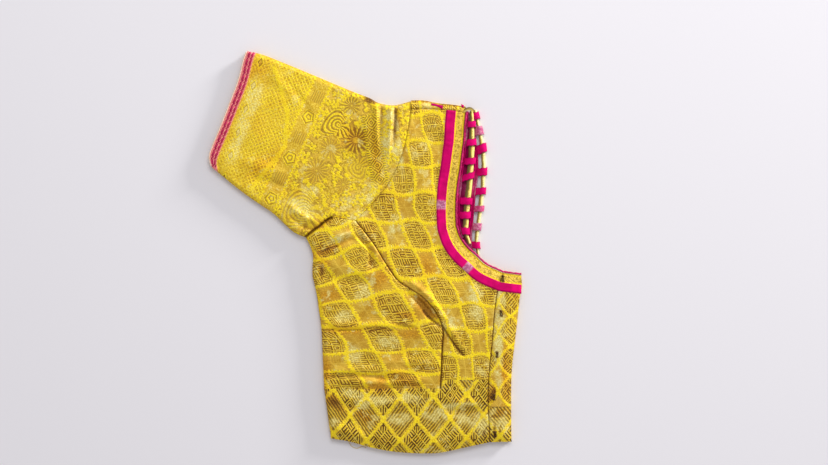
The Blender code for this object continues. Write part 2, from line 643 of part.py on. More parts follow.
def hidden_layers(lining):
    """One rounded solid: rings up its layered rim, and a crowned top under the walls."""
    neck = (distance_to(OUTLINE, NECK_EDGE) < GAP) & (OUTLINE[:, 1] > LAST_LADDER_Y)
    base = np.where(neck, HIDDEN_NECK_INSET, 0.0)
    rings = [
        np.column_stack([inset_outline(base, level.inset), np.full(len(OUTLINE), level.height)]) for level in RIM
    ]
    for distance in TOP_INSETS:
        ring = inset_outline(base, distance)
        rings.append(np.column_stack([ring, hidden_height(ring)]))
    count = len(OUTLINE)
    faces = []
    for i in range(len(rings) - 1):
        for k in range(count):
            a, b = i * count + k, i * count + (k + 1) % count
            faces.append([a, b, b + count, a + count])
    vertices = np.vstack(rings)

    ring = rings[-1][:, :2]
    low, high = ring.min(0), ring.max(0)
    xs = np.arange(low[0], high[0], HIDDEN_GRID)
    ys = np.arange(low[1], high[1], HIDDEN_GRID)
    inside = np.array([(x + HIDDEN_GRID / 2 * (j % 2), y) for j, y in enumerate(ys) for x in xs])
    inside = inside[inside_of(inside, ring) & (distance_to(inside, closed(ring)) > HIDDEN_GRID / 2)]
    top_faces = triangles(ring, inside)
    shift = len(vertices) - count
    vertices = np.vstack([vertices, np.column_stack([inside, hidden_height(inside)])])
    faces += [[k + shift for k in face] for face in top_faces]
    faces += [face[::-1] for face in triangles(rings[0][:, :2], np.empty((0, 2)))]
    make_object("hidden_layers", vertices, faces, lining)


def closed(ring):
    return np.vstack([ring, ring[:1]])


def inside_of(points, ring):
    """True for each point inside the closed ring."""
    x, y = points[:, 0][:, None], points[:, 1][:, None]
    (x1, y1), (x2, y2) = ring.T, np.roll(ring, -1, axis=0).T
    crosses = ((y1 > y) != (y2 > y)) & (x < (x2 - x1) * (y - y1) / (y2 - y1 + 1e-12) + x1)
    return crosses.sum(1) % 2 == 1


def triangles(ring, inside):
    """Triangles that fill a ring, with the inside points among their corners. Indices: ring, then inside."""
    points = [tuple(p) for p in np.vstack([ring, inside])]
    edges = [(k, (k + 1) % len(ring)) for k in range(len(ring))]
    _, _, faces, original, _, _ = delaunay_2d_cdt(points, edges, [], 1, 1e-6)
    return [[original[k][0] for k in face] for face in faces]


def back_half(name, ladder, tabs, level, brocade, satin):
    """One back half inside the neck: its strip of cloth, its piped edge with the tabs, and the cord."""
    edge = smooth_line(column(ladder, "edge_x", "edge_y"), STEPS_PER_SECTION)
    cord = smooth_line(column(ladder, "cord_x", "cord_y"), STEPS_PER_SECTION)
    width = smooth_line([(row.cord_half_width, 0) for row in ladder], STEPS_PER_SECTION)[:, 0]

    away = sideways(edge)
    away *= np.sign(away[:, :1])
    cloth_side = edge - away * (level.piping_radius + GAP)
    tucked = NECK_EDGE + sideways(NECK_EDGE) * NECK_TUCK
    grid = np.stack([nearest_on(tucked, cloth_side), cloth_side], axis=1)
    rise = np.broadcast_to([level.cloth_z, level.cloth_edge_z], grid.shape[:2])
    outer = np.dstack([grid, rise])
    wall_from_grids(name, outer, outer - [0, 0, BACK_WALL], brocade)

    cord_points = np.column_stack([cord, np.full(len(cord), level.cord_z)])
    tube(name + "_cord", cord_points, sideways(cord), width, level.cord_half_height, CORD_SIDES, brocade)
    tabbed_piping(name + "_tabs", edge, cord, width, tabs, level, satin)


def at_height(line, y):
    """x of a line that runs down, at each y."""
    return np.interp(y, line[::-1, 1], line[::-1, 0])


def tabbed_piping(name, edge, cord, width, tabs, level, satin):
    """Piping along the edge, and from its outer side a satin strip over the cord at each tab."""
    bounds = [tab.y + side * tab.width / 2 for tab in tabs for side in (1, -1)]
    plain = [y for y in edge[:, 1] if all(abs(y - tab.y) > tab.width / 2 + 1 for tab in tabs)]
    ys = np.array(sorted(bounds + plain, reverse=True))
    centres = np.column_stack([at_height(edge, ys), ys])
    cord_x = at_height(cord, ys)
    half_width = np.interp(ys, cord[::-1, 1], width[::-1])
    across = sideways(centres)
    across *= np.sign(across[:, :1])

    n = PIPING_SIDES
    angles = [math.tau * (k + 0.5) / n for k in range(n)]
    radius = level.piping_radius
    vertices = [
        (c[0] + a[0] * radius * math.cos(t), c[1] + a[1] * radius * math.cos(t), level.piping_z + radius * math.sin(t))
        for c, a in zip(centres, across)
        for t in angles
    ]
    faces = [list(range(n)), [(len(ys) - 1) * n + k for k in range(n)]]
    for i in range(len(ys) - 1):
        ring = [[i * n + k, i * n + (k + 1) % n, (i + 1) * n + (k + 1) % n, (i + 1) * n + k] for k in range(n)]
        tabbed = any(abs(ys[i] - tab.y - tab.width / 2) < 1e-6 for tab in tabs)
        outer_side = ring.pop()
        faces += ring
        if not tabbed:
            faces.append(outer_side)
            continue
        # Ring of the strip: its top and bottom at this station, then bottom and top at the next.
        last = [i * n, i * n + n - 1, (i + 1) * n + n - 1, (i + 1) * n]
        for angle in TAB_ANGLES:
            ring = []
            for station, sides in ((i, (1, -1)), (i + 1, (-1, 1))):
                reach = half_width[station] + TAB_CLEAR + TAB_WALL / 2
                rise = level.cord_half_height + TAB_CLEAR + TAB_WALL / 2
                across_cord, up = math.cos(angle), math.sin(angle)
                normal = np.array([across_cord / reach, up / rise])
                normal /= np.linalg.norm(normal)
                for side in sides:
                    ring.append(len(vertices))
                    x = cord_x[station] + reach * across_cord + side * normal[0] * TAB_WALL / 2
                    z = level.cord_z + rise * up + side * normal[1] * TAB_WALL / 2
                    vertices.append((x, ys[station], z))
            for k in range(4):
                faces.append([last[k], last[(k + 1) % 4], ring[(k + 1) % 4], ring[k]])
            last = ring
        faces.append(last)
    make_object(name, vertices, faces, satin)


def hook_eyes(bronze):
    """Wire ovals that lie along the placket."""
    turns = np.linspace(0, 2 * math.pi, EYE_STATIONS, endpoint=False)
    around = [(math.cos(t), math.sin(t)) for t in np.linspace(0, 2 * math.pi, WIRE_SIDES, endpoint=False)]
    for eye in HOOK_EYES:
        out = np.column_stack([np.cos(turns), np.sin(turns)])
        reach = np.array([EYE_WIDTH / 2 - EYE_WIRE, EYE_LENGTH / 2 - EYE_WIRE])
        centres = np.array([eye.x, eye.y]) + out * reach
        height = cloth_height(centres) + TRIM_LIFT + EYE_WIRE
        vertices = [
            (c[0] + o[0] * EYE_WIRE * a, c[1] + o[1] * EYE_WIRE * a, h + EYE_WIRE * b)
            for c, o, h in zip(centres, out, height)
            for a, b in around
        ]
        faces = []
        for i in range(EYE_STATIONS):
            for k in range(WIRE_SIDES):
                a, b = i * WIRE_SIDES + k, i * WIRE_SIDES + (k + 1) % WIRE_SIDES
                step = ((i + 1) % EYE_STATIONS - i) * WIRE_SIDES
                faces.append([a, b, b + step, a + step])
        make_object(eye.name, vertices, faces, bronze)


def main():
    clear_scene()
    brocade = material("zari_brocade", (0.72, 0.55, 0.10), 0.38, 0.35)
    satin = material("pink_satin", (0.75, 0.0, 0.18), 0.35, 0.0)
    crimson = material("crimson_piping", (0.36, 0.01, 0.08), 0.45, 0.0)
    braid = material("crimson_braid", (0.62, 0.12, 0.16), 0.55, 0.0)
    lining = material("yellow_lining", (0.62, 0.48, 0.12), 0.7, 0.0)
    bronze = material("bronze_wire", (0.10, 0.05, 0.03), 0.45, 0.8)

    front_side_panel(brocade)
    front_centre_panel(brocade)
    waist_belt(brocade)
    placket(brocade)
    sleeve(brocade, braid)
    shoulder(brocade, satin)
    neck_trims(satin, crimson)
    hidden_layers(lining)
    back_half("upper_back", UPPER_LADDER, UPPER_TABS, UPPER_LEVEL, brocade, satin)
    back_half("lower_back", LOWER_LADDER, LOWER_TABS, LOWER_LEVEL, brocade, satin)
    hook_eyes(bronze)


main()
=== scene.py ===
"""Brocade choli blouse, folded at its centre back and laid flat, with its trims, floor, light and camera.

Lengths in the tables are millimetres. +X runs from the sleeve to the centre front, and +Y from the hem to
the shoulder.
"""

import math
from collections import namedtuple

import bpy
import numpy as np
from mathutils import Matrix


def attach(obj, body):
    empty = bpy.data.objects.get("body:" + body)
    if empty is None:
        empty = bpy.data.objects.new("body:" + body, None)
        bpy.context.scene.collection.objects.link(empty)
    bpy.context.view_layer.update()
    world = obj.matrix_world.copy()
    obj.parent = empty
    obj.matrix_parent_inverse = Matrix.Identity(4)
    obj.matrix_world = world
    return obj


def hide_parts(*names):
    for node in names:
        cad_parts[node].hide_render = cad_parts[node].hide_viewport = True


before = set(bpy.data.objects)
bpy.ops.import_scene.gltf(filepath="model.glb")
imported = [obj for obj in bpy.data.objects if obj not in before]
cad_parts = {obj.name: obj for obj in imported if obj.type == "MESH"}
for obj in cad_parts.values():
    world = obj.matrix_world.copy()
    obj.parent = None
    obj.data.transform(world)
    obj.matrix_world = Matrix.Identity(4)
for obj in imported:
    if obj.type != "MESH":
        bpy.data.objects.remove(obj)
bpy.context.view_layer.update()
bpy.ops.object.select_all(action="DESELECT")

# ---------------------------------------------------------------------------------------------------------
# Hidden layers. The left front, both back halves and the under side of the sleeves lie under the panels that
# show. They are one soft stack of lined brocade, whose four edges show as rounded lips all round.

MM = 0.001
STEPS = 12

# Sections across the lower body, from the underarm down to the belt.
BodySection = namedtuple("BodySection", "name side_x side_y seam_x seam_y right_x right_y")
BODY = [
    BodySection("underarm", -65, 16.5, -10.5, 34, 97.5, 28.5),
    BodySection("side hollow", -60, 6.5, 3.5, 16.5, 102, 15.5),
    BodySection("side swell", -57, -4, 13.5, 2, 110, 4.5),
    BodySection("above bust", -57.5, -15, 23, -13.5, 120, -4.5),
    BodySection("bust", -57.5, -25.5, 34.5, -29.5, 130.5, -14),
    BodySection("placket top", -55.5, -34.5, 47, -38.5, 149, -22.5),
    BodySection("pleat lip", -53, -46, 63, -49.5, 144.5, -35.5),
    BodySection("pleat middle", -51, -60.5, 75, -63.5, 141, -51.5),
    BodySection("pleat end", -48, -82, 83.5, -82, 138.5, -75.5),
    BodySection("rib", -47, -101.5, 83, -101.5, 136.5, -101.5),
    BodySection("waist", -46, -125, 82, -125, 134, -124),
    BodySection("belt seam", -45, -147.5, 81, -147, 132.5, -147),
]
PLACKET_TOP = 5
PLEAT_END = 8

# Sections across the chest, from the foot of the armhole up to the shoulder.
ChestSection = namedtuple("ChestSection", "name arm_x arm_y neck_x neck_y")
CHEST = [
    ChestSection("armhole foot", -10.5, 34, 97.5, 28.5),
    ChestSection("armhole curve", 5, 50.5, 97, 43.5),
    ChestSection("lower chest", 20, 67.5, 97.5, 59.5),
    ChestSection("chest", 31.5, 86.5, 99, 74.5),
    ChestSection("upper chest", 38.5, 103, 101.5, 90),
    ChestSection("armhole waist", 43, 119, 103.5, 105),
    ChestSection("upper armhole", 46, 133.5, 105.5, 120),
    ChestSection("below shoulder", 48, 146, 106.5, 136.5),
    ChestSection("shoulder seam", 49, 155, 108, 151.5),
]

# The placket's sections, from the neck down to the hem.
PlacketSection = namedtuple("PlacketSection", "name seam_x seam_y edge_x edge_y")
PLACKET = [
    PlacketSection("neck", 149, -22.5, 168.5, -25),
    PlacketSection("band", 144.5, -35.5, 169, -37.5),
    PlacketSection("first eye", 141, -51.5, 166.5, -51.5),
    PlacketSection("bust", 138.5, -75.5, 164, -75.5),
    PlacketSection("rib", 136.5, -101.5, 161, -101.5),
    PlacketSection("waist", 134, -124, 158.5, -124),
    PlacketSection("belt level", 132.5, -147, 157.5, -147),
    PlacketSection("belt seam", 132.5, -167, 157.5, -167),
    PlacketSection("belt", 133.5, -185.5, 157.5, -185.5),
    PlacketSection("hem", 134.5, -205.5, 158, -205),
]
PLACKET_BELT_LEVEL = 6
PLACKET_BELT_SEAM = 7

# Stations along the waist belt's hem, from the side seam to the placket.
Place = namedtuple("Place", "name x y")
HEM = [
    Place("side seam", -37.5, -201.5),
    Place("side back", -19, -204.5),
    Place("side front", 5, -211),
    Place("front", 29, -215.5),
    Place("below bust", 54.5, -217.5),
    Place("waist seam", 79.5, -217),
    Place("centre", 106.5, -211.5),
    Place("placket", 134.5, -205.5),
]
HEM_WAIST_SEAM = 5

# The armhole seam under the arm, from the princess seam to the side seam.
LOWER_ARMHOLE = [
    Place("princess seam", -10.5, 34),
    Place("under the arm", -21, 36.5),
    Place("crease end", -36.5, 37.5),
    Place("crease", -51.5, 27),
    Place("side seam", -65, 16.5),
]

# Sections across the sleeve, from its hem to its cap: top fold and bottom fold.
SleeveSection = namedtuple("SleeveSection", "name top_x top_y bottom_x bottom_y")
SLEEVE = [
    SleeveSection("hem", -128.5, 217.5, -167, 92.5),
    SleeveSection("border", -112, 214, -153.5, 81),
    SleeveSection("border top", -92.5, 206.5, -140, 70),
    SleeveSection("lower sleeve", -70.5, 197.5, -126, 59.5),
    SleeveSection("sleeve", -49, 188.5, -112, 50),
    SleeveSection("upper sleeve", -27.5, 179.5, -99, 41),
    SleeveSection("under cap", -10.5, 172.5, -87.5, 30),
    SleeveSection("nook", 4, 167, -79, 22.5),
    SleeveSection("outer pleat", 13, 162, -74, 19.4),
    SleeveSection("inner pleat", 24, 159.4, -70, 17.7),
    SleeveSection("cap hollow", 34, 159.4, -67.5, 17),
    SleeveSection("cap seam", 49, 163.5, -65, 16.5),
]
SLEEVE_HEM = [
    Place("top fold", -128.5, 217.5),
    Place("top", -132, 207.5),
    Place("upper", -137.5, 186),
    Place("upper middle", -146.5, 162),
    Place("lower middle", -156.5, 136.5),
    Place("lower", -166, 113.5),
    Place("turn", -169, 103),
    Place("bottom fold", -167, 92.5),
]

# Stations along the shoulder fold: its seam to the front and its folded top edge.
ShoulderStation = namedtuple("ShoulderStation", "name seam_x seam_y fold_x fold_y")
SHOULDER = [
    ShoulderStation("cap", 49, 155, 49, 163.5),
    ShoulderStation("peak", 63, 155.5, 63, 163.5),
    ShoulderStation("pink strip", 78.5, 154.5, 78.5, 160.5),
    ShoulderStation("band", 93.5, 153.5, 93.5, 159),
    ShoulderStation("neck", 108, 151.5, 108, 157),
]


def smooth_line(places, steps=STEPS):
    """Points on a smooth line through the places, with so many steps from each place to the next."""
    p = np.array(places, float)
    ends = np.vstack([2 * p[0] - p[1], p, 2 * p[-1] - p[-2]])
    points = [p[0]]
    for i in range(len(p) - 1):
        a, b, c, d = ends[i : i + 4]
        for k in range(1, steps + 1):
            t = k / steps
            pull = (2 * a - 5 * b + 4 * c - d) * t**2 + (3 * b - a - 3 * c + d) * t**3
            points.append(0.5 * (2 * b + (c - a) * t + pull))
    return np.array(points)


def column(table, *names):
    """Some columns of a table, as a tuple for each row."""
    return [tuple(getattr(row, name) for name in names) for row in table]


def values(table, name):
    """One column of a table."""
    return [getattr(row, name) for row in table]


def joined(*lines):
    """One line from several that follow each other end to end."""
    return np.vstack([lines[0]] + [line[1:] for line in lines[1:]])


def straight(start, end, steps):
    """Points on a straight line."""
    t = np.linspace(0, 1, steps + 1)[:, None]
    return np.array(start) * (1 - t) + np.array(end) * t


def run_along(line):
    """Distance along a line at each of its points."""
    return np.concatenate([[0], np.cumsum(np.linalg.norm(np.diff(line, axis=0), axis=1))])


def resample(line, steps):
    """The same line with evenly spaced points."""
    run = run_along(line)
    at = np.linspace(0, run[-1], steps + 1)
    return np.column_stack([np.interp(at, run, line[:, k]) for k in range(line.shape[1])])


def unit(vectors):
    """The same directions with a length of 1."""
    return vectors / np.linalg.norm(vectors, axis=-1, keepdims=True)


side_seam = smooth_line(column(BODY, "side_x", "side_y"))
princess_seam = smooth_line(column(BODY, "seam_x", "seam_y"))
neck_to_placket = smooth_line(column(BODY[: PLACKET_TOP + 1], "right_x", "right_y"))
placket_seam = smooth_line(column(PLACKET, "seam_x", "seam_y"))
front_edge = smooth_line(column(PLACKET, "edge_x", "edge_y"))
armhole = smooth_line(column(CHEST, "arm_x", "arm_y"))
chest_neck = smooth_line(column(CHEST, "neck_x", "neck_y"))
lower_armhole = smooth_line(column(LOWER_ARMHOLE, "x", "y"))
hem = smooth_line(column(HEM, "x", "y"))
sleeve_top = smooth_line(column(SLEEVE, "top_x", "top_y"))
sleeve_bottom = smooth_line(column(SLEEVE, "bottom_x", "bottom_y"))
sleeve_hem = smooth_line(column(SLEEVE_HEM, "x", "y"))
shoulder_seam = smooth_line(column(SHOULDER, "seam_x", "seam_y"))
shoulder_fold = smooth_line(column(SHOULDER, "fold_x", "fold_y"))
placket_top = straight(placket_seam[0], front_edge[0], STEPS)
placket_hem = straight(placket_seam[-1], front_edge[-1], STEPS)
belt_side = straight(side_seam[-1], hem[0], STEPS)
neck_edge = joined(chest_neck[::-1], neck_to_placket, placket_top)
shoulder_end = np.array([shoulder_fold[-1], shoulder_seam[-1]])

# The outline, clockwise from the top of the sleeve's hem: its folded runs and its cut runs.
top_run = joined(sleeve_top, shoulder_fold)
neck_run = joined(shoulder_end, neck_edge)
hem_run = joined(hem, placket_hem)
side_run = joined(side_seam, belt_side)
folded_runs = [top_run, side_run, sleeve_bottom]
cut_runs = [neck_run, front_edge, hem_run, sleeve_hem]

POINTS_AT_ONCE = 4000


def distance_to(points, line):
    """Distance of each point from a line, in the plane of the floor."""
    start = line[:-1][None]
    along = (line[1:] - line[:-1])[None]
    nearest = np.full(len(points), np.inf)
    for part in np.array_split(np.arange(len(points)), len(points) // POINTS_AT_ONCE + 1):
        offset = points[part, None] - start
        t = np.clip((offset * along).sum(2) / ((along**2).sum(2) + 1e-9), 0, 1)[..., None]
        nearest[part] = np.sqrt(((offset - t * along) ** 2).sum(2)).min(1)
    return nearest


def distance_to_runs(points, runs, skip=1):
    """Distance of each point from the nearest of several lines. Skip thins the lines' own points."""
    return np.min([distance_to(points, run[::skip]) for run in runs], axis=0)


RimLevel = namedtuple("RimLevel", "name height inset folded_inset")
RIM = [
    RimLevel("floor", 0.15, 2.4, 2.4),
    RimLevel("left front, under", 0.45, 0.6, 0.7),
    RimLevel("left front", 0.95, 0, 0),
    RimLevel("left front, over", 1.45, 0.4, 0.1),
    RimLevel("first groove", 1.70, 1.7, 0.8),
    RimLevel("left back, under", 2.00, 0.8, 0.3),
    RimLevel("left back", 2.45, 0.5, 0.2),
    RimLevel("left back, over", 2.90, 0.9, 0.8),
    RimLevel("second groove", 3.15, 2, 2.2),
    RimLevel("right back, under", 3.40, 0.9, 2.3),
    RimLevel("right back", 3.85, 0.5, 2.4),
    RimLevel("right back, over", 4.40, 0.8, 3),
    RimLevel("third groove", 4.70, 2.2, 4),
]
NECK_INSET = 3.2
BACK_CELL = 29.0
LAST_LADDER_Y = -6.0
RIM_WAVE = 0.28
RIM_POINTS = 520
FOLD_BLEND = 6.0
ON_THE_EDGE = 0.4

outline = joined(
    top_run, neck_run, front_edge, hem_run[::-1], side_run[::-1], sleeve_bottom[::-1], sleeve_hem[::-1]
)
outline = resample(outline, RIM_POINTS)[:-1]
behind = outline - np.roll(outline, 1, axis=0)
ahead = np.roll(outline, -1, axis=0) - outline
along = unit(unit(behind) + unit(ahead))
inward = np.column_stack([along[:, 1], -along[:, 0]])
by_fold = distance_to_runs(outline, folded_runs)
by_cut = distance_to_runs(outline, cut_runs)
folded = np.clip((by_cut - by_fold) / FOLD_BLEND + 0.5, 0, 1)
by_neck = (distance_to(outline, neck_edge) < ON_THE_EDGE) & (outline[:, 1] > LAST_LADDER_Y)
turn = np.linspace(0, math.tau, len(outline), endpoint=False)

rings = []
for k, level in enumerate(RIM):
    wave = RIM_WAVE * (np.sin(23 * turn + 2.1 * k) + 0.7 * np.sin(41 * turn + 1.3 * k * k))
    inset = level.inset * (1 - folded) + level.folded_inset * folded + np.abs(wave) * (level.inset > 0)
    ring = outline + inward * (inset + NECK_INSET * by_neck)[:, None]
    rings.append(np.column_stack([ring, np.full(len(ring), level.height)]))
rim_points = np.stack(rings)


def mesh_piece(name, points, faces, places):
    """A mesh piece from points in millimetres, with each point's place in the weave as its UV map."""
    mesh = bpy.data.meshes.new(name)
    mesh.from_pydata([tuple(p) for p in np.asarray(points) * MM], [], faces)
    weave = mesh.uv_layers.new(name="weave")
    corner = np.empty(len(mesh.loops), np.int32)
    mesh.loops.foreach_get("vertex_index", corner)
    weave.data.foreach_set("uv", np.asarray(places, np.float32)[corner].ravel())
    piece = bpy.data.objects.new(name, mesh)
    bpy.context.scene.collection.objects.link(piece)
    mesh.shade_smooth()
    return piece


def grid_faces(rows, columns, closed=False):
    """Quads between neighbouring rows and columns. A closed grid joins its last column to its first."""
    index = np.arange(rows * columns).reshape(rows, columns)
    if closed:
        index = np.column_stack([index, index[:, 0]])
    quads = np.stack([index[:-1, :-1], index[:-1, 1:], index[1:, 1:], index[1:, :-1]], axis=-1)
    return quads.reshape(-1, 4).tolist()


def outwards(piece):
    """Turns a closed piece's faces outwards."""
    bpy.ops.object.select_all(action="DESELECT")
    bpy.context.view_layer.objects.active = piece
    piece.select_set(True)
    bpy.ops.object.mode_set(mode="EDIT")
    bpy.ops.mesh.select_all(action="SELECT")
    bpy.ops.mesh.normals_make_consistent(inside=False)
    bpy.ops.object.mode_set(mode="OBJECT")
    bpy.ops.object.select_all(action="DESELECT")


count = len(outline)
hidden_faces = grid_faces(len(RIM), count, closed=True)
hidden_faces.append(list(range(count)))
hidden_faces.append(list(range((len(RIM) - 1) * count, len(RIM) * count)))
climb = np.cumsum([0] + [math.hypot(b.height - a.height, b.inset - a.inset) for a, b in zip(RIM, RIM[1:])])
rim_places = outline[None] - inward[None] * climb[:, None, None]
hidden = mesh_piece(
    "hidden_layers_soft", rim_points.reshape(-1, 3), hidden_faces, rim_places.reshape(-1, 2) / BACK_CELL
)
outwards(hidden)


class Field:
    """A value in a node tree. Sums and products of fields make Math nodes, so a weave reads as a formula."""

    def __init__(self, tree, socket):
        self.tree = tree
        self.socket = socket

    def maths(self, operation, *others):
        node = self.tree.nodes.new("ShaderNodeMath")
        node.operation = operation
        for slot, value in zip(node.inputs, (self, *others)):
            feed(slot, value)
        return Field(self.tree, node.outputs[0])

    def __add__(self, other):
        return self.maths("ADD", other)

    def __sub__(self, other):
        return self.maths("SUBTRACT", other)

    def __mul__(self, other):
        return self.maths("MULTIPLY", other)

    def __truediv__(self, other):
        return self.maths("DIVIDE", other)

    def __rsub__(self, other):
        return self.maths("MULTIPLY_ADD", -1.0, other)

    __radd__ = __add__
    __rmul__ = __mul__

    def least(self, other):
        return self.maths("MINIMUM", other)

    def most(self, other):
        return self.maths("MAXIMUM", other)

    def size(self):
        return self.maths("ABSOLUTE")

    def fract(self):
        return self.maths("FRACT")

    def floor(self):
        return self.maths("FLOOR")

    def sin(self):
        return self.maths("SINE")

    def cos(self):
        return self.maths("COSINE")

    def odd(self):
        """1 where a whole number is odd, 0 where it is even."""
        return self.maths("FLOORED_MODULO", 2.0)

    def wave(self):
        """0 halfway between two whole numbers, and 0.5 at each of them."""
        return (self.fract() - 0.5).size()

    def above(self, level):
        """1 above the level, 0 at it and below."""
        return self.maths("GREATER_THAN", level)

    def ramp(self, low, high):
        """0 at low, 1 at high, and smooth between."""
        node = self.tree.nodes.new("ShaderNodeMapRange")
        node.interpolation_type = "SMOOTHSTEP"
        self.tree.links.new(self.socket, node.inputs["Value"])
        node.inputs["From Min"].default_value = low
        node.inputs["From Max"].default_value = high
        return Field(self.tree, node.outputs["Result"])

    def pick(self, other, share):
        """Self where share is 0, other where it is 1."""
        return self + (other - self) * share


def feed(slot, value):
    """Gives a node's input a field or a fixed value."""
    if isinstance(value, Field):
        value.tree.links.new(value.socket, slot)
    else:
        slot.default_value = value


VECTORS = ("Cells", "Millimetres", "Place")
COLOURS = ("Color", "Dark", "Light", "Left", "Middle", "Right")
SOCKET_KINDS = dict.fromkeys(VECTORS, "Vector") | dict.fromkeys(COLOURS, "Color")
MASKS = ("Line", "Stroke", "Satin", "Rib", "Luck")


def group(name, inputs, outputs):
    """New shader node group, its inputs as fields by name, and a function that sets an output by name."""
    tree = bpy.data.node_groups.new(name, "ShaderNodeTree")
    for way, labels in (("INPUT", inputs), ("OUTPUT", outputs)):
        for label in labels:
            kind = "NodeSocket" + SOCKET_KINDS.get(label, "Float")
            tree.interface.new_socket(label, in_out=way, socket_type=kind)
    start = tree.nodes.new("NodeGroupInput")
    end = tree.nodes.new("NodeGroupOutput")
    given = {label: Field(tree, start.outputs[label]) for label in inputs}

    def put(label, field):
        tree.links.new(field.socket, end.inputs[label])

    return tree, given, put


def parts(vector):
    """The x and y of a vector field."""
    node = vector.tree.nodes.new("ShaderNodeSeparateXYZ")
    vector.tree.links.new(vector.socket, node.inputs[0])
    return Field(vector.tree, node.outputs["X"]), Field(vector.tree, node.outputs["Y"])


def vector_of(x, y):
    """A vector field from its x and y."""
    node = x.tree.nodes.new("ShaderNodeCombineXYZ")
    feed(node.inputs[0], x)
    feed(node.inputs[1], y)
    return Field(x.tree, node.outputs[0])


def noise(vector, scale, detail=2.0, roughness=0.5):
    """Smooth unevenness, about 0.5 on average. Scale is how many waves there are to a unit."""
    node = vector.tree.nodes.new("ShaderNodeTexNoise")
    given = {"Vector": vector, "Scale": scale, "Detail": detail, "Roughness": roughness}
    for label, value in given.items():
        feed(node.inputs[label], value)
    return Field(vector.tree, node.outputs["Fac"])


def span(x, y):
    """How far a place is from the origin."""
    return (x * x + y * y).maths("SQRT")


def chance(x, y, seed):
    """An even random value for each pair of whole numbers."""
    node = x.tree.nodes.new("ShaderNodeTexWhiteNoise")
    node.noise_dimensions = "3D"
    place = x.tree.nodes.new("ShaderNodeCombineXYZ")
    for slot, value in zip(place.inputs, (x, y, seed)):
        feed(slot, value)
    x.tree.links.new(place.outputs[0], node.inputs["Vector"])
    return Field(x.tree, node.outputs["Value"])


def dye(red, green, blue):
    """A colour as the eye reads it, 0 to 255, in Blender's linear values."""
    return (*[((c / 255 + 0.055) / 1.055) ** 2.4 if c > 10 else c / 3295 for c in (red, green, blue)], 1.0)


def coloured(tree, share, first, second):
    """A mix of two colours, each a fixed dye or another mix."""
    node = tree.nodes.new("ShaderNodeMix")
    node.data_type = "RGBA"
    for slot, value in (("Factor", share), (6, first), (7, second)):
        feed(node.inputs[slot], value)
    return Field(tree, node.outputs[2])


def labyrinth(p, q, blocks, reach, col, row):
    """A labyrinth cell from its own coordinates, -0.5 to 0.5: the strokes of its blocks, which are combs,
    bars or nested squares at random, and the threads between them. Reach is how many blocks there are each
    way from the cell's middle one."""
    a, b = p * blocks, q * blocks
    across = (a + 0.5).floor().least(reach).most(-reach)
    down = (b + 0.5).floor().least(reach).most(-reach)
    a, b = a - across, b - down
    rim = a.size().most(b.size())
    luck = chance(col * 5.0 + across, row * 5.0 + down, 4.0)
    upright = (across + down).odd()
    upright = upright.pick(1.0 - upright, luck.maths("LESS_THAN", 0.3))
    along, beside = a.pick(b, upright), b.pick(a, upright)
    slant = (across * down).size().least(1.0) * (luck * 3.0).fract().above(0.55)
    along, beside = along.pick((along + beside) * 0.75, slant), beside.pick((beside - along) * 0.75, slant)
    inside = rim.ramp(0.46, 0.40)
    bars = (along * 2.75 + 0.5).wave().ramp(0.3, 0.19)
    side = (luck * 7.0).fract().above(0.5) * 2.0 - 1.0
    comb = (luck * 5.0).fract().above(0.35)
    spine = (beside * side - 0.35).size().ramp(0.12, 0.07) * comb
    nested = ((rim * 3.3).fract() - 0.38).size().ramp(0.3, 0.2)
    nest = (luck * 13.0).fract().above(0.7)
    return bars.most(spine).pick(nested, nest) * inside, rim.ramp(0.44, 0.5)


def trellis():
    """Checkerboard of rounded labyrinth cells and hollow-sided satin ones between bright threads. A cell is
    one unit, with its centre at a whole number."""
    tree, given, put = group("trellis", ("Cells", "Blocks"), MASKS)
    u, v = parts(given["Cells"])
    wander = noise(given["Cells"], 2.3, 1.0) - 0.5
    fray = noise(given["Cells"], 13.0, 1.0) - 0.5
    u, v = u + wander * 0.1, v + wander * 0.08
    turn_u, turn_v = u * math.pi, v * math.pi
    bulge = 0.06
    u = u - turn_u.sin() * turn_v.cos() * bulge
    v = v - turn_v.sin() * turn_u.cos() * bulge
    col, row = (u + 0.5).floor(), (v + 0.5).floor()
    p, q = u - col, v - row
    satin = (col + row).odd()
    luck = chance(col, row, 9.0)
    along = p.pick(q, p.size().above(q.size()))
    teeth = (along * 9.0 + luck).wave() * (0.05 + satin * 0.13)
    node = (p.size() + q.size()).ramp(0.80, 0.97)
    edge = 0.5 - p.size().most(q.size())
    line = (edge - teeth - node * 0.10 + fray * 0.2).ramp(0.05, 0.016)
    p, q = p + fray * 0.02, q - fray * 0.02
    strokes, threads = labyrinth(p, q, given["Blocks"], 2.0, col, row)
    put("Line", line.most(threads * (1.0 - satin) * 0.35))
    put("Satin", satin)
    put("Stroke", strokes * (1.0 - satin) * edge.ramp(0.05, 0.07))
    cross = p.size().least(q.size()).ramp(0.045, 0.015)
    side = (p * 2.0 + 2.0).floor() + (q * 2.0 + 2.0).floor()
    ribs = (p.pick(q, side.odd()) * 13.0).wave() * 2.0
    steps = ((p.size() - q.size()) * 4.5).floor().size().ramp(0.4, 1.2)
    put("Rib", (ribs * (0.35 + side.odd() * 0.35) + steps * 0.3 + cross * 0.4) * satin)
    put("Luck", luck)
    return tree


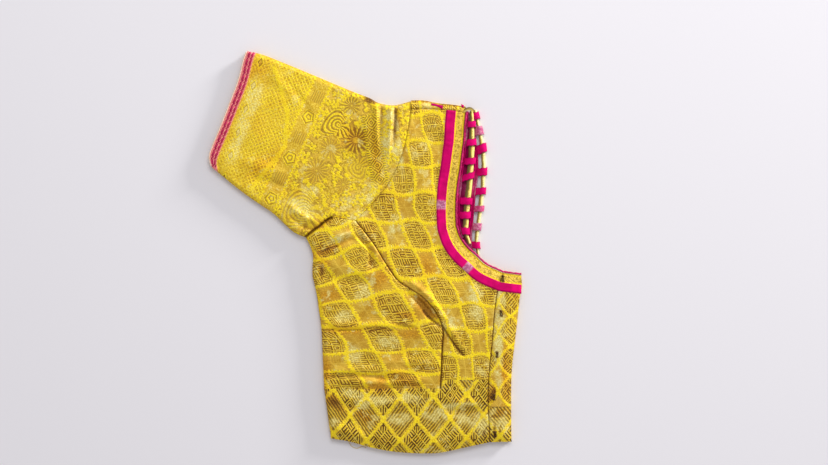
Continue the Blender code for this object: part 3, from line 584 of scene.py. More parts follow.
def brocade_finish():
    """Zari brocade from its weave's masks: gold ground, brown strokes, tan satin, bright threads, and a pale
    sheen painted where the satin catches the light, which is a painted highlight. Depth darkens the strokes.
    Warm paints it orange, as painted shade beside folds and as the cloth's own orange tone. Shade is painted
    shade."""
    tree, given, put = group(
        "brocade finish", ("Place", *MASKS, "Sheen", "Shade", "Neck", "Warm", "Depth"),
        ("Color", "Roughness", "Metallic", "Height"),
    )
    place = given["Place"]
    thread = noise(place, 2.2, 1.0, 0.5)
    shade = given["Shade"] * (0.72 + thread.ramp(0.38, 0.62) * 0.45)
    speck = noise(place, 0.62, 2.0, 0.65)
    cloud = noise(place, 0.05, 2.0, 0.55)
    gleam = noise(place, 0.085, 3.0, 0.62)
    held = given["Satin"] * 0.25 + 0.75
    # Painted highlight: the sheen, with cream patches from the gleam noise, where the satin catches the
    # light.
    sheen = given["Sheen"].ramp(0.05, 0.75) * gleam.ramp(0.34, 0.5) + gleam.ramp(0.57, 0.65) * 0.6
    sheen = (sheen * held * (0.72 + speck * 0.5)).least(1.0)
    # Warm is partly painted shade, orange where creases and seams are shaded, and partly orange tone at
    # random.
    warm = (given["Warm"] + cloud.ramp(0.5, 0.72) * 0.38 + given["Shade"].ramp(0.0, 0.35) * 0.5).least(1.0)
    warm = warm * (1.0 - sheen)

    ground = coloured(tree, speck.ramp(0.34, 0.66), dye(208, 164, 16), dye(240, 208, 72))
    tan = coloured(tree, given["Rib"], dye(190, 142, 34), dye(236, 198, 74))
    tan = coloured(tree, given["Luck"].ramp(0.5, 1.0) * 0.5, tan, dye(190, 140, 40))
    tan = coloured(tree, speck.ramp(0.5, 0.7) * 0.4, tan, dye(238, 206, 66))
    fill = coloured(tree, given["Satin"] * 0.95, ground, tan)
    orange_gold = coloured(tree, speck.ramp(0.35, 0.65), dye(176, 112, 18), dye(228, 164, 28))
    fill = coloured(tree, warm * 0.8, fill, orange_gold)
    brown = coloured(tree, thread.ramp(0.35, 0.65), dye(92, 56, 8), dye(146, 98, 20))
    brown = coloured(tree, given["Depth"], brown, dye(74, 46, 12))
    drawn = (0.78 + given["Luck"] * 0.16 + warm * 0.2 + given["Depth"] * 0.25).least(1.0)
    fill = coloured(tree, given["Stroke"] * drawn * (1.0 - sheen * 0.5), fill, brown)
    # The pale colour of the painted highlight.
    pale = coloured(tree, speck.ramp(0.35, 0.65), dye(222, 198, 96), dye(246, 234, 158))
    fill = coloured(tree, sheen * (1.0 - given["Stroke"] * 0.55), fill, pale)
    bright = coloured(tree, speck.ramp(0.34, 0.56), dye(228, 184, 8), dye(255, 228, 10))
    bright = coloured(tree, thread.ramp(0.52, 0.7) * 0.5, bright, dye(238, 208, 84))
    bright = coloured(tree, warm * 0.5, bright, dye(240, 178, 6))
    dressed = coloured(tree, given["Line"] * (0.96 - sheen * 0.15), fill, bright)

    # Beside the neck the cloth's border shows, a flecked strip between two bright threads.
    flecks = noise(place, 0.42, 2.0, 0.7).ramp(0.5, 0.58)
    border = coloured(tree, flecks, dye(222, 186, 66), dye(168, 134, 40))
    dressed = coloured(tree, given["Neck"].ramp(1.6, 1.9), dressed, border)
    rails = (given["Neck"] - 2.6).size().ramp(0.9, 0.6).most((given["Neck"] - 10.7).size().ramp(0.9, 0.6))
    dressed = coloured(tree, rails * 0.85, dressed, bright)
    # Painted shade: toward dark brown where creases, seams, folded edges and the pleat's hollow lie in shade.
    dark = coloured(tree, speck.ramp(0.4, 0.6), dye(70, 36, 6), dye(112, 62, 12))
    put("Color", coloured(tree, shade.ramp(0.1, 1.0) * 0.92, dressed, dark))
    put("Roughness", 0.46 - sheen * 0.12 + given["Line"] * 0.08)
    put("Metallic", (0.24 + given["Satin"] * 0.1 - given["Line"] * 0.16 - sheen * 0.1).most(0.0))
    put("Height", thread * 0.4 + speck * 0.6 + given["Line"] * 0.9 - given["Stroke"] * 0.6)
    return tree


WEAVE_RELIEF = 0.00022
BROCADE_GLOSS = 0.25
brocade_look = brocade_finish()


def material_with(name, look, relief, reads):
    """Material with a look, which is a node group, and that group's node. It reads its place in millimetres.
    Reads gives the mesh's attribute for each other input, and relief is how far the look's height stands
    out."""
    made = bpy.data.materials.new(name)
    made.use_nodes = True
    tree = made.node_tree
    shader = tree.nodes["Principled BSDF"]
    at = tree.nodes.new("ShaderNodeTexCoord")
    size = tree.nodes.new("ShaderNodeVectorMath")
    size.operation = "SCALE"
    size.inputs["Scale"].default_value = 1 / MM
    tree.links.new(at.outputs["Object"], size.inputs[0])
    finish = tree.nodes.new("ShaderNodeGroup")
    finish.node_tree = look
    tree.links.new(size.outputs[0], finish.inputs["Place"])
    for label, attribute in reads.items():
        node = tree.nodes.new("ShaderNodeAttribute")
        node.attribute_name = attribute
        tree.links.new(node.outputs["Fac"], finish.inputs[label])
    bump = tree.nodes.new("ShaderNodeBump")
    bump.inputs["Distance"].default_value = relief
    tree.links.new(finish.outputs["Height"], bump.inputs["Height"])
    tree.links.new(bump.outputs["Normal"], shader.inputs["Normal"])
    for label, slot in (("Color", "Base Color"), ("Roughness", "Roughness"), ("Metallic", "Metallic")):
        if label in finish.outputs:
            tree.links.new(finish.outputs[label], shader.inputs[slot])
    return made, finish


def brocade(name, weave_tree, depth=0.0, blocks=None):
    """Material of one of the weaves. The weave reads the piece's UV map, and the yarn reads its place."""
    # The mesh's sheen is painted highlight, its crease painted shade, and its warm partly painted shade.
    reads = {"Sheen": "sheen", "Shade": "crease", "Neck": "neck", "Warm": "warm"}
    made, finish = material_with(name, brocade_look, WEAVE_RELIEF, reads)
    tree = made.node_tree
    places = tree.nodes.new("ShaderNodeUVMap")
    places.uv_map = "weave"
    weave = tree.nodes.new("ShaderNodeGroup")
    weave.node_tree = weave_tree
    tree.links.new(places.outputs["UV"], weave.inputs[0])
    if blocks:
        weave.inputs["Blocks"].default_value = blocks
    for label in MASKS:
        tree.links.new(weave.outputs[label], finish.inputs[label])
    finish.inputs["Depth"].default_value = depth
    tree.nodes["Principled BSDF"].inputs["Specular IOR Level"].default_value = BROCADE_GLOSS
    return made


trellis_tree = trellis()
body_brocade = brocade("body_brocade", trellis_tree, blocks=4.2)
hidden.data.materials.append(body_brocade)
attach(hidden, "root")
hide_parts("hidden_layers")

# ---------------------------------------------------------------------------------------------------------
# Front side panel. The right front's side, cut in brocade and joined to the centre panel at the princess
# seam. It turns under at the side fold, and creases run from under the arm and across the ribs.

PILE = 9.0
FOLD_EDGE = 4.8
FOLD_ROLL = 5.0
FOLD_UNDER = 4.05
UNDER_ROLL = 1.5
CUT_EDGE = 6.2
CUT_ROLL = 14.0
EDGE_CALM = 7.0
UNDER_STEPS = (3.4, 2.2, 1.2, 0.5, 0.12)
ROLL_STEPS = (0.12, 0.45, 0.9)
CLOTH = 0.8

# Heights and shades are worked out from every third point of a line.
COARSE = 3

Mound = namedtuple("Mound", "name x y reach_x reach_y rise")
MOUNDS = [
    Mound("bust", 60, -58, 62, 50, 3.6),
    Mound("sleeve cap", 22, 128, 28, 36, 3.4),
    Mound("underarm", -30, 16, 32, 28, 2.6),
    Mound("shoulder", 82, 134, 36, 26, 1),
    Mound("sleeve", -82, 124, 60, 46, 1),
    Mound("waist", 20, -128, 70, 26, 0.8),
]

# Creases and pleats. Walking from the first place to the last, left and right are how far each
# flank reaches, and a short flank is a steep one. fade_in and fade_out are the lengths over which the ends
# die out, and tint is how dark the crease is.
# tint is painted shade: it darkens the cloth's colour along the crease.
Crease = namedtuple("Crease", "name path left right rise fade_in fade_out tint")
CREASES = [
    Crease("cap pleat, outer", ((12, 160), (13, 130), (14, 104)), 1.4, 3.6, 2.2, 2, 30, 0),
    Crease("cap pleat valley", ((17.5, 160), (17.5, 135), (18, 106)), 1.6, 1.6, -1.6, 2, 30, 0.5),
    Crease("cap pleat, inner", ((27.5, 161), (28.2, 140), (25, 100)), 0.8, 6, 3.2, 2, 38, 0),
    Crease("cap hollow", ((31.5, 161), (31.5, 140), (29, 108)), 3.6, 1, -2.2, 2, 30, 0.9),
    Crease("ridge below the armpit", ((-34, 13.5), (-24, 18.5), (-13.5, 22.5)), 3.2, 3.6, 2, 8, 8, 0),
    Crease("dip below the ridge", ((-36, 6.5), (-24, 11), (-10, 16)), 3.4, 3.4, -1.4, 8, 8, 0.25),
    Crease("short side crease", ((-36.5, 3.5), (-28, 7.6)), 0.9, 0.9, -1, 3, 3, 0.5),
    Crease("side crease", ((-10.3, 18.5), (3, 5), (6, -6), (4, -21)), 5, 2.2, -1.9, 6, 10, 0.35),
    Crease("ridge by the side crease", ((-3, 18), (9, 4), (12, -12)), 3, 3, 1.2, 6, 8, 0),
    Crease("side swell", ((-50, -10), (-20, -18), (10, -22)), 7, 8, 1, 14, 16, 0),
    Crease("side dip", ((-52, -22), (-24, -30), (14, -34)), 6, 6, -0.9, 14, 16, 0),
    Crease("bust pleat lip", ((46, -30), (62, -42.5), (74.5, -56), (85.5, -76)), 4, 2.4, 2, 12, 14, 0),
    Crease("bust pleat hollow", ((44, -39), (57, -51), (68.5, -63.5), (79, -76.5)), 2.6, 4.4, -3.6, 20, 5, 0),
    Crease("pleat depth", ((60, -60.5), (67.5, -69.5), (76, -76), (81.5, -82)), 1.5, 1.3, -1.4, 12, 4, 1),
    Crease("below the pleat", ((82.5, -79), (96.5, -100), (107.5, -113)), 1.1, 1.1, -2, 2, 6, 1.2),
    Crease("ridge below the pleat", ((88, -78), (101, -98), (110, -110)), 4, 2.6, 1.4, 6, 10, 0),
    Crease("rib crease, side", ((-38.5, -83.2), (-22, -84.4), (-4.5, -84)), 0.9, 0.9, -1, 3, 3, 0.8),
    Crease("rib crease, front", ((4, -85), (17, -83), (31.5, -84.6)), 0.9, 0.9, -1, 3, 3, 0.8),
    Crease("rib swell", ((-40, -78), (0, -79), (34, -79)), 4.5, 3, 1.3, 8, 10, 0),
    Crease("waist fold, first", ((-38, -128), (10, -126.5), (48, -131)), 4, 5, 1.3, 12, 16, 0),
    Crease("waist crease, first", ((-40, -134.5), (-4, -133), (30, -138.5)), 2.4, 2.2, -1.2, 8, 12, 0.25),
    Crease("waist fold, second", ((-30, -139), (20, -141), (70, -137)), 3.6, 3.6, 1.3, 10, 14, 0),
    Crease("waist crease, second", ((-20, -145.5), (24, -147), (62, -143)), 2.2, 2.4, -1.1, 8, 12, 0.2),
    Crease("waist fold, third", ((14, -121), (46, -118.5), (78, -121)), 5, 5, 1, 10, 10, 0),
    Crease("belt swell, first", ((-30, -158), (16, -163), (66, -160)), 6, 5, 1, 10, 20, 0),
    Crease("belt swell, second", ((86, -158), (104, -163), (126, -163)), 5, 4, 1.2, 6, 8, 0),
    Crease("belt dip", ((86, -170), (104, -172), (126, -170)), 4, 6, -1, 6, 8, 0.1),
    Crease("hem lift", ((-34, -192), (-16, -196), (2, -203)), 8, 6, 1.6, 6, 10, 0),
    Crease("chest swell", ((52, 118), (62, 84), (60, 40)), 12, 10, 0.8, 20, 30, 0),
    Crease("chest dip", ((84, 130), (80, 88), (84, 50)), 9, 9, -0.7, 20, 30, 0),
    Crease("neck swell", ((104, -10), (116, -40), (118, -70)), 9, 9, 0.9, 20, 20, 0),
    Crease("sleeve fold, upper", ((-104, 196), (-76, 170), (-60, 150)), 8, 6, 1, 20, 26, 0),
    Crease("sleeve dip, upper", ((-92, 192), (-66, 160), (-58, 136)), 4, 5, -1, 20, 26, 0.05),
    Crease("sleeve fold, lower", ((-136, 96), (-108, 92), (-84, 82)), 7, 8, 0.9, 16, 20, 0),
    Crease("sleeve dip, lower", ((-128, 82), (-104, 76), (-80, 66)), 4, 5, -0.9, 16, 20, 0),
    Crease("pull to the armpit", ((-84, 52), (-66, 38), (-50, 32)), 3.4, 3, 1.4, 12, 6, 0),
    Crease("pull below it", ((-80, 38), (-68, 28), (-56, 24.5)), 2, 2, -1.2, 8, 4, 0.2),
    Crease("placket fold line", ((135, -177.6), (143, -177.2), (150.5, -177.4)), 0.8, 0.8, -0.8, 1, 1, 0.8),
    Crease("cap swell", ((4, 150), (2, 118), (8, 92)), 6, 6, 1, 14, 24, 0),
]

# Seams draw the cloth down along a line, and tint is the painted shade that lies along them.
SeamGroove = namedtuple("SeamGroove", "name line depth reach tint")
below_pleat = PLEAT_END * STEPS
SEAM_GROOVES = [
    SeamGroove("armhole", armhole, 0.8, 0.9, 0.12),
    SeamGroove("under the arm", lower_armhole[len(lower_armhole) // 2 :], 2.4, 1.5, 1.3),
    SeamGroove("under the arm, inner", lower_armhole[: len(lower_armhole) // 2 + 1], 0.6, 1.0, 0.1),
    SeamGroove("princess seam", princess_seam[: below_pleat + 1], 1.2, 0.9, 0.8),
    SeamGroove("princess seam below the pleat", princess_seam[below_pleat:], 1.3, 1.1, 1.1),
    SeamGroove("placket seam", placket_seam, 0.8, 0.8, 0.8),
    SeamGroove("shoulder seam", shoulder_seam, 0.4, 1.0, 0.1),
]


def bulk_height(points):
    """Top of the pile without its creases: rolled down at folded edges and thinner at cut ones."""
    x, y = points[:, 0], points[:, 1]
    full = np.full(len(points), PILE)
    for mound in MOUNDS:
        reach = ((x - mound.x) / mound.reach_x) ** 2 + ((y - mound.y) / mound.reach_y) ** 2
        full += mound.rise * np.exp(-reach)
    height = full
    for run in folded_runs:
        inner = np.clip(distance_to(points, run[::COARSE]) / FOLD_ROLL, 0, 1)
        height = np.minimum(height, FOLD_EDGE + (full - FOLD_EDGE) * np.sqrt(1 - (1 - inner) ** 2))
    for run in cut_runs:
        inner = np.clip(distance_to(points, run[::COARSE]) / CUT_ROLL, 0, 1)
        height = np.minimum(height, CUT_EDGE + (full - CUT_EDGE) * np.sin(inner * math.pi / 2))
    return height


def crease_form(points):
    """Height that the creases add at each point, and the painted shade that they lay on the cloth there."""
    height = np.zeros(len(points))
    tint = np.zeros(len(points))
    for crease in CREASES:
        path = smooth_line(crease.path, 6)
        run = run_along(path)
        near = np.flatnonzero(distance_to(points, path[::COARSE]) < 3.2 * max(crease.left, crease.right) + 3)
        if not len(near):
            continue
        start, step = path[:-1], path[1:] - path[:-1]
        offset = points[near, None] - start[None]
        t = np.clip((offset * step).sum(2) / (step**2).sum(1), 0, 1)
        across = offset - t[..., None] * step
        away = np.linalg.norm(across, axis=2)
        k = away.argmin(1)
        rows = np.arange(len(near))
        away = away[rows, k]
        at = run[k] + t[rows, k] * np.linalg.norm(step[k], axis=1)
        turn = step[k, 0] * offset[rows, k, 1] - step[k, 1] * offset[rows, k, 0]
        reach = np.where(turn > 0, crease.left, crease.right)
        ends = np.clip(at / crease.fade_in, 0, 1) * np.clip((run[-1] - at) / crease.fade_out, 0, 1)
        strength = np.exp(-((away / reach) ** 2)) * np.sin(ends * math.pi / 2)
        height[near] += crease.rise * strength
        tint[near] += crease.tint * strength
    return height, tint


def seam_form(points):
    """How far the seams draw the cloth down at each point, and the painted shade along them there."""
    depth = np.zeros(len(points))
    tint = np.zeros(len(points))
    for seam in SEAM_GROOVES:
        strength = np.exp(-((distance_to(points, seam.line[::2]) / seam.reach) ** 2))
        depth = np.maximum(depth, seam.depth * strength)
        tint = np.maximum(tint, seam.tint * strength)
    return depth, tint


def ripple(points):
    """Small unevenness of hand-pressed cloth."""
    x, y = points[:, 0], points[:, 1]
    slow = np.sin(x / 11.3 + 1.7 * np.sin(y / 17.1)) * np.sin(y / 9.7 + 1.3 * np.sin(x / 14.9))
    fast = np.sin(x / 4.1 + y / 7.7 + 2.0 * np.sin(y / 13.0)) * np.sin(y / 5.3 - x / 9.1)
    return 0.26 * slow + 0.10 * fast


def cloth_top(points):
    """Height of the dressed cloth at each plan point, and the painted shade on its colour there."""
    edge = distance_to_runs(points, folded_runs + cut_runs, COARSE)
    calm = np.clip(edge / EDGE_CALM, 0, 1)
    calm = calm * calm * (3 - 2 * calm)
    crease, painted_crease_shade = crease_form(points)
    seam, painted_seam_shade = seam_form(points)
    height = bulk_height(points) + (crease + ripple(points)) * calm - seam * np.clip(edge / 3, 0.25, 1)
    # Painted shade: that of the creases and seams, the dark spots, the shadow under the bust pleat, and a
    # band along the folded edges, where the cloth turns under.
    fold = distance_to_runs(points, folded_runs, COARSE)
    tint = painted_crease_shade * calm + painted_seam_shade + 0.9 * glow(points, DARKS) + 0.62 * glow(points, PLEAT_SHADOW, 3)
    return height, np.clip(tint + 0.3 * np.exp(-((fold / 1.8) ** 2)), 0, 1)


# Painted highlights: a pale sheen is painted where the satin floats of the weave face the light.
Spot = namedtuple("Spot", "x y reach_x reach_y turn")
GLEAMS = [
    Spot(60.8, 111.8, 13, 5, 45), Spot(-2.9, -43.7, 9, 9, 0), Spot(25.1, -97.2, 13, 7, 0),
    Spot(-13, -112, 9, 10, 0), Spot(-23.3, -69, 9, 6, 15), Spot(116.9, -43.7, 8, 10, 0),
    Spot(119.5, -66.6, 8, 9, 0), Spot(96.5, -76.8, 9, 7, -30), Spot(127, -125, 8, 9, 0),
    Spot(147, -52, 4, 30, 3), Spot(143, -108, 4.4, 42, 3), Spot(32.8, 27.7, 6, 13, -20),
    Spot(-20.7, 53.2, 13, 7, 25), Spot(-71.7, 48.1, 16, 10, -20), Spot(26, 120, 9.5, 36, 4),
    Spot(36, 116, 2.6, 30, 8), Spot(-10.6, 37.9, 13, 5, 25), Spot(-120, 170, 8, 20, -17),
    Spot(-143, 108, 7, 13, -17), Spot(-132, 136, 7, 14, -17), Spot(-28.4, 14.9, 13, 4, 24),
    Spot(-13, -153, 13, 4, -8),
    Spot(46.5, -157.8, 14, 4.5, 0), Spot(103, -166, 25, 3.8, 2), Spot(108.3, -178.4, 15, 7, 0),
    Spot(126, -187, 9, 11, -40), Spot(79, -176, 7, 9, 30),
    Spot(37, -180, 12, 6, 0), Spot(67, -173.7, 6, 6, 0), Spot(-1, -164, 8, 5, 0),
    Spot(14, -160, 12, 5, 0), Spot(-33, -184, 5, 5, 0), Spot(85, -82, 1.8, 6, 20),
    Spot(147.5, -188, 7, 9, 0), Spot(5, 66, 12, 7, 60), Spot(-60, 66, 9, 6, 0),
]

# Spots painted orange: painted shade beside folds and under the arm, where the gold turns orange in its own
# shade, and orange tone of the cloth on the placket and elsewhere.
WARMS = [
    Spot(-109, 95, 24, 9, 38), Spot(-115, 198, 9, 11, 0), Spot(-41, 1, 13, 4.5, 22),
    Spot(-45, -12, 7, 5, 30), Spot(14.8, -29.6, 9, 9, 0), Spot(45.8, -68, 12, 4, -12),
    Spot(-39.7, -47, 13, 6, 5), Spot(46.5, -88, 15, 6, 0), Spot(33.8, -131, 12, 5, 0),
    Spot(11.7, -145.2, 12, 5, 0), Spot(46.5, -140.4, 15, 6, -6), Spot(-36, -158, 6, 5, 0),
    Spot(-1, -176.9, 14, 7, -40), Spot(136.8, -153, 3.5, 8, 0), Spot(144, -173, 12, 3.4, 0),
    Spot(-42.2, -131, 5, 22, 0), Spot(64, -60, 13, 5, -48), Spot(-12.5, 121.9, 12, 14, 0),
    Spot(12, 106, 5, 30, 8), Spot(-20, -84, 24, 5, 0), Spot(150, -130, 6, 30, 0),
    Spot(70, -18, 8, 14, 30), Spot(-46, 30, 9, 4, 30), Spot(34, 148, 3, 12, 4),
]

# Spots painted darker: painted shade where a fold lies in its own shade, and brown marks by the lower hook
# eyes.
DARKS = [
    Spot(5.5, 163.2, 6, 2.4, -25), Spot(139, -149.5, 1.8, 4.4, 0), Spot(139.5, -190, 1.8, 4.5, 0),
    Spot(154.4, -154, 0.7, 4, 0), Spot(44, -79, 12, 2.2, -8), Spot(-41, 3.5, 10, 1.6, 22),
    Spot(128, -195, 2, 4, 0), Spot(-47, -20, 2.4, 9, 0), Spot(3, 165, 5, 3, -25),
    Spot(136, -155, 2.4, 7, 0), Spot(-33, -163, 9, 5, -40),
]
# Painted shadow in the hollow under the bust pleat's lip, with hard edges.
PLEAT_SHADOW = [Spot(63.5, -58.5, 17.5, 5.2, -48)]


def glow(points, spots, power=1):
    """How much of each point lies in the spots of a table. A higher power gives them harder edges."""
    share = np.zeros(len(points))
    for gleam in spots:
        turn = math.radians(gleam.turn)
        offset = points - (gleam.x, gleam.y)
        along = offset[:, 0] * math.cos(turn) + offset[:, 1] * math.sin(turn)
        across = offset[:, 1] * math.cos(turn) - offset[:, 0] * math.sin(turn)
        far = (along / gleam.reach_x) ** 2 + (across / gleam.reach_y) ** 2
        share += np.exp(-(far**power))
    return np.clip(share, 0, 1)


# How the pattern's threads lie on each panel. At each level a guide thread is at x, columns are a pitch
# apart, rows climb to the right by rise, and row counts the rows of cells. Even cells are labyrinths.
Thread = namedtuple("Thread", "level x pitch rise row")
CENTRE_THREADS = [
    Thread(168, 45, 22, 0, 2.1), Thread(133, 53, 20.5, 0, 1), Thread(105.7, 59.4, 21, 0, 0),
    Thread(79.5, 63, 22, 0, -1), Thread(48, 64.4, 21.5, 0, -2), Thread(18.5, 77.5, 21.5, 0, -3),
    Thread(-10.8, 90.2, 22, 0, -4), Thread(-43.2, 109, 25, 0, -5), Thread(-70, 118, 22, 0, -6),
    Thread(-98, 123, 19, 0, -7), Thread(-125, 126, 18, 0, -8), Thread(-153, 127, 18, 0, -9),
]
SIDE_THREADS = [
    Thread(34, -59, 23, 0.33, 3), Thread(8, -45, 23, 0.33, 2), Thread(-16, -28.6, 23.5, 0.33, 1),
    Thread(-37.6, -12.4, 27, 0.28, 0), Thread(-63, 0, 30, 0.08, -1), Thread(-96, 21.1, 30, 0.03, -2),
    Thread(-118, 30.7, 31, 0.03, -3), Thread(-142, 43.3, 31, -0.03, -4), Thread(-166, 55, 31, 0, -5),
]
WIDER_LEFT = -1.5
WIDER_SHARE = 0.8
LEVEL_ROUNDS = 4


def woven(places, threads):
    """Each place in cells of the trellis, along the panel's threads."""
    x, y = places[:, 0], places[:, 1]

    def at(level, label):
        return np.interp(level, values(threads, "level")[::-1], values(threads, label)[::-1])

    # A place's level depends on the rise there, so it is found in a few rounds.
    level = y
    for _ in range(LEVEL_ROUNDS):
        level = y - at(level, "rise") * (x - at(level, "x"))
    u = (x - at(level, "x")) / at(level, "pitch")
    u = np.where(u < WIDER_LEFT, WIDER_LEFT + (u - WIDER_LEFT) * WIDER_SHARE, u)
    return np.column_stack([u, at(level, "row")])


def centre_weave(places):
    return woven(places, CENTRE_THREADS)


def side_weave(places):
    return woven(places, SIDE_THREADS)


def patch(left, right, start, end):
    """Grid of points between four lines: row i runs from left[i] to right[i], and the first and last rows
    follow the start and end lines."""
    v = np.linspace(0, 1, len(left))[:, None, None]
    u = np.linspace(0, 1, len(start))[None, :, None]
    ruled = left[:, None] * (1 - u) + right[:, None] * u
    lofted = start[None] * (1 - v) + end[None] * v
    corners = (left[0] * (1 - u) + right[0] * u) * (1 - v) + (left[-1] * (1 - u) + right[-1] * u) * v
    return ruled + lofted - corners


def turned_under(grid):
    """The grid with extra columns at its left side, which run under the edge and come round it."""
    edge = grid[:, 0]
    way = unit(grid[:, 1] - edge)
    extra = np.stack([edge + way * step for step in (*UNDER_STEPS, 0.0, *ROLL_STEPS)], axis=1)
    return np.concatenate([extra, grid[:, 1:]], axis=1)


def upward_faces(grid):
    """Faces of a grid of plan points, wound to look up."""
    faces = grid_faces(*grid.shape[:2])
    i, j = (len(grid) - 1) // 2, (grid.shape[1] - 1) // 2
    across, down = grid[i, j + 1] - grid[i, j], grid[i + 1, j] - grid[i, j]
    looks_up = across[0] * down[1] - across[1] * down[0] >= 0
    return faces if looks_up else [face[::-1] for face in faces]


def give(piece, **shares):
    """Writes attributes on a piece's points, such as crease or sheen."""
    for label, share in shares.items():
        made = piece.data.attributes.new(label, "FLOAT", "POINT")
        made.data.foreach_set("value", np.asarray(share, np.float32).ravel())


def thicken(piece, wall):
    """Gives a sheet a wall, which grows down from its top."""
    made = piece.modifiers.new("wall", "SOLIDIFY")
    made.thickness = wall * MM
    made.offset = -1.0
    bpy.context.view_layer.objects.active = piece
    bpy.ops.object.modifier_apply(modifier="wall")


NECK_BORDER = 12.0
WALL_ANGLE = math.radians(55)
FOLD_SIDES = {"left": 1, "right": -1}
Border = namedtuple("Border", "level finish weave")


def cloth_shell(name, grid, node, finish, weave, folds=(), lift=0.0, thickness=CLOTH, border=None):
    """A thin shell of cloth on the pile's top through a grid of plan points, turned under at its folded
    sides. Below the level of a border it has the border's finish and weave."""
    for side in folds:
        way = FOLD_SIDES[side]
        grid = turned_under(grid[:, ::way])[:, ::way]
    under = np.zeros(grid.shape[:2], bool)
    for side in folds:
        under[:, :: FOLD_SIDES[side]][:, : len(UNDER_STEPS)] = True
    flat = grid.reshape(-1, 2)
    height, tint = cloth_top(flat)
    below = np.clip(distance_to_runs(flat, folded_runs, COARSE) / UNDER_ROLL, 0, 1)
    under_height = FOLD_EDGE - (FOLD_EDGE - FOLD_UNDER) * np.sqrt(1 - (1 - below) ** 2)
    height = np.where(under.ravel(), under_height, height + lift)
    points = np.column_stack([flat, height]).reshape(*grid.shape[:2], 3)

    # Outside the last plain column the weave goes on by the cloth's own length round the fold.
    places = grid.copy()
    turns = len(UNDER_STEPS) + 1 + len(ROLL_STEPS)
    for side in folds:
        plan, shape, woven_at = (each[:, :: FOLD_SIDES[side]] for each in (grid, points, places))
        out = unit(plan[:, turns - 1] - plan[:, turns + 2])
        for k in range(turns - 1, -1, -1):
            length = np.linalg.norm(shape[:, k] - shape[:, k + 1], axis=1)
            woven_at[:, k] = woven_at[:, k + 1] + out * length[:, None]

    piece = mesh_piece(name, points.reshape(-1, 3), upward_faces(grid), weave(places.reshape(-1, 2)))
    by_the_neck = np.clip(NECK_BORDER - distance_to(flat, neck_edge), 0, None)
    # The crease and sheen attributes carry painted shade and painted highlights, and warm carries painted
    # shade beside folds with orange tone.
    give(piece, crease=tint, sheen=glow(flat, GLEAMS), warm=glow(flat, WARMS), neck=by_the_neck)
    piece.data.materials.append(finish)
    if border:
        piece.data.materials.append(border.finish)
        low = flat[:, 1] < border.level
        other = border.weave(flat)
        map_of = piece.data.uv_layers["weave"].data
        for face in piece.data.polygons:
            if not all(low[corner] for corner in face.vertices):
                continue
            face.material_index = 1
            for loop, corner in zip(face.loop_indices, face.vertices):
                map_of[loop].uv = other[corner]
    thicken(piece, thickness)
    piece.data.set_sharp_from_angle(angle=WALL_ANGLE)
    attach(piece, "root")
    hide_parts(node)
    return piece


SIDES = {"left": np.s_[:, 0], "right": np.s_[:, -1], "start": np.s_[0], "end": np.s_[-1]}
INSIDE = {"left": np.s_[:, 1], "right": np.s_[:, -2], "start": np.s_[1], "end": np.s_[-2]}
HALF_GAP = 0.15


def drawn_in(grid, *sides, distance=HALF_GAP):
    """Draws the named sides of a grid in, so that neighbours leave a gap at their seam."""
    grid = grid.copy()
    for side in sides:
        grid[SIDES[side]] += unit(grid[INSIDE[side]] - grid[SIDES[side]]) * distance
    return grid


SIDE_COLUMNS = 84
CENTRE_COLUMNS = 84
side_bottom = straight(side_seam[-1], princess_seam[-1], SIDE_COLUMNS)
side_grid = patch(side_seam, princess_seam, resample(lower_armhole[::-1], SIDE_COLUMNS), side_bottom)
side_panel = cloth_shell(
    "front_side_panel_cloth", drawn_in(side_grid, "right", "start"), "front_side_panel",
    body_brocade, side_weave, folds=("left",),
)

# ---------------------------------------------------------------------------------------------------------
# Front centre panel. It runs from the shoulder to the waist between the princess seam and the placket, and
# laps over the side panel as a soft pleat below the bust. Its lowest rows show the cloth's woven border.

BORDER_LEVEL = -137.0


def diamonds():
    """Lattice of diamonds, labyrinths by turns with hatched satin. Threads cross at whole numbers and halfway
    between them."""
    tree, given, put = group("diamonds", ("Cells",), MASKS)
    u, v = parts(given["Cells"])
    wander = noise(given["Cells"], 3.1, 1.0) - 0.5
    fray = noise(given["Cells"], 22.0, 1.0) - 0.5
    rising, falling = u + v + wander * 0.06, u - v + wander * 0.06
    col, row = rising.floor(), falling.floor()
    p, q = rising - col - 0.5, falling - row - 0.5
    edge = 0.5 - p.size().most(q.size())
    far = p.size() + q.size()
    node = far.ramp(0.80, 0.96)
    points = (p - q).size().least((p + q).size()).ramp(0.12, 0.0)
    satin = (col - row).odd()
    luck = chance(col, row, 2.0)
    lines = p.pick(q, luck.above(0.5)) * 9.6 + fray * 0.5
    hatch = lines.wave().ramp(0.34, 0.2) * far.ramp(0.86, 0.78)
    strokes, threads = labyrinth(p + fray * 0.02, q - fray * 0.02, 3.5, 1.0, col, row)
    seed = (far - 0.79).size().ramp(0.07, 0.03) * (p + q).size().ramp(0.09, 0.04)
    strokes = (strokes * (1.0 - satin) + hatch * satin * 0.8) * edge.ramp(0.04, 0.06)
    line = (edge - node * (0.08 + points * 0.10) + fray * 0.3).ramp(0.053, 0.018)
    line = line.most(threads * (1.0 - satin) * 0.3)
    put("Stroke", strokes.most(seed * 0.7))
    put("Line", line * (1.0 - seed * 0.8))
    put("Satin", satin * 0.4)
    put("Rib", ((u * 62.0).sin() * 0.4 + 0.6) * satin)
    put("Luck", luck)
    return tree


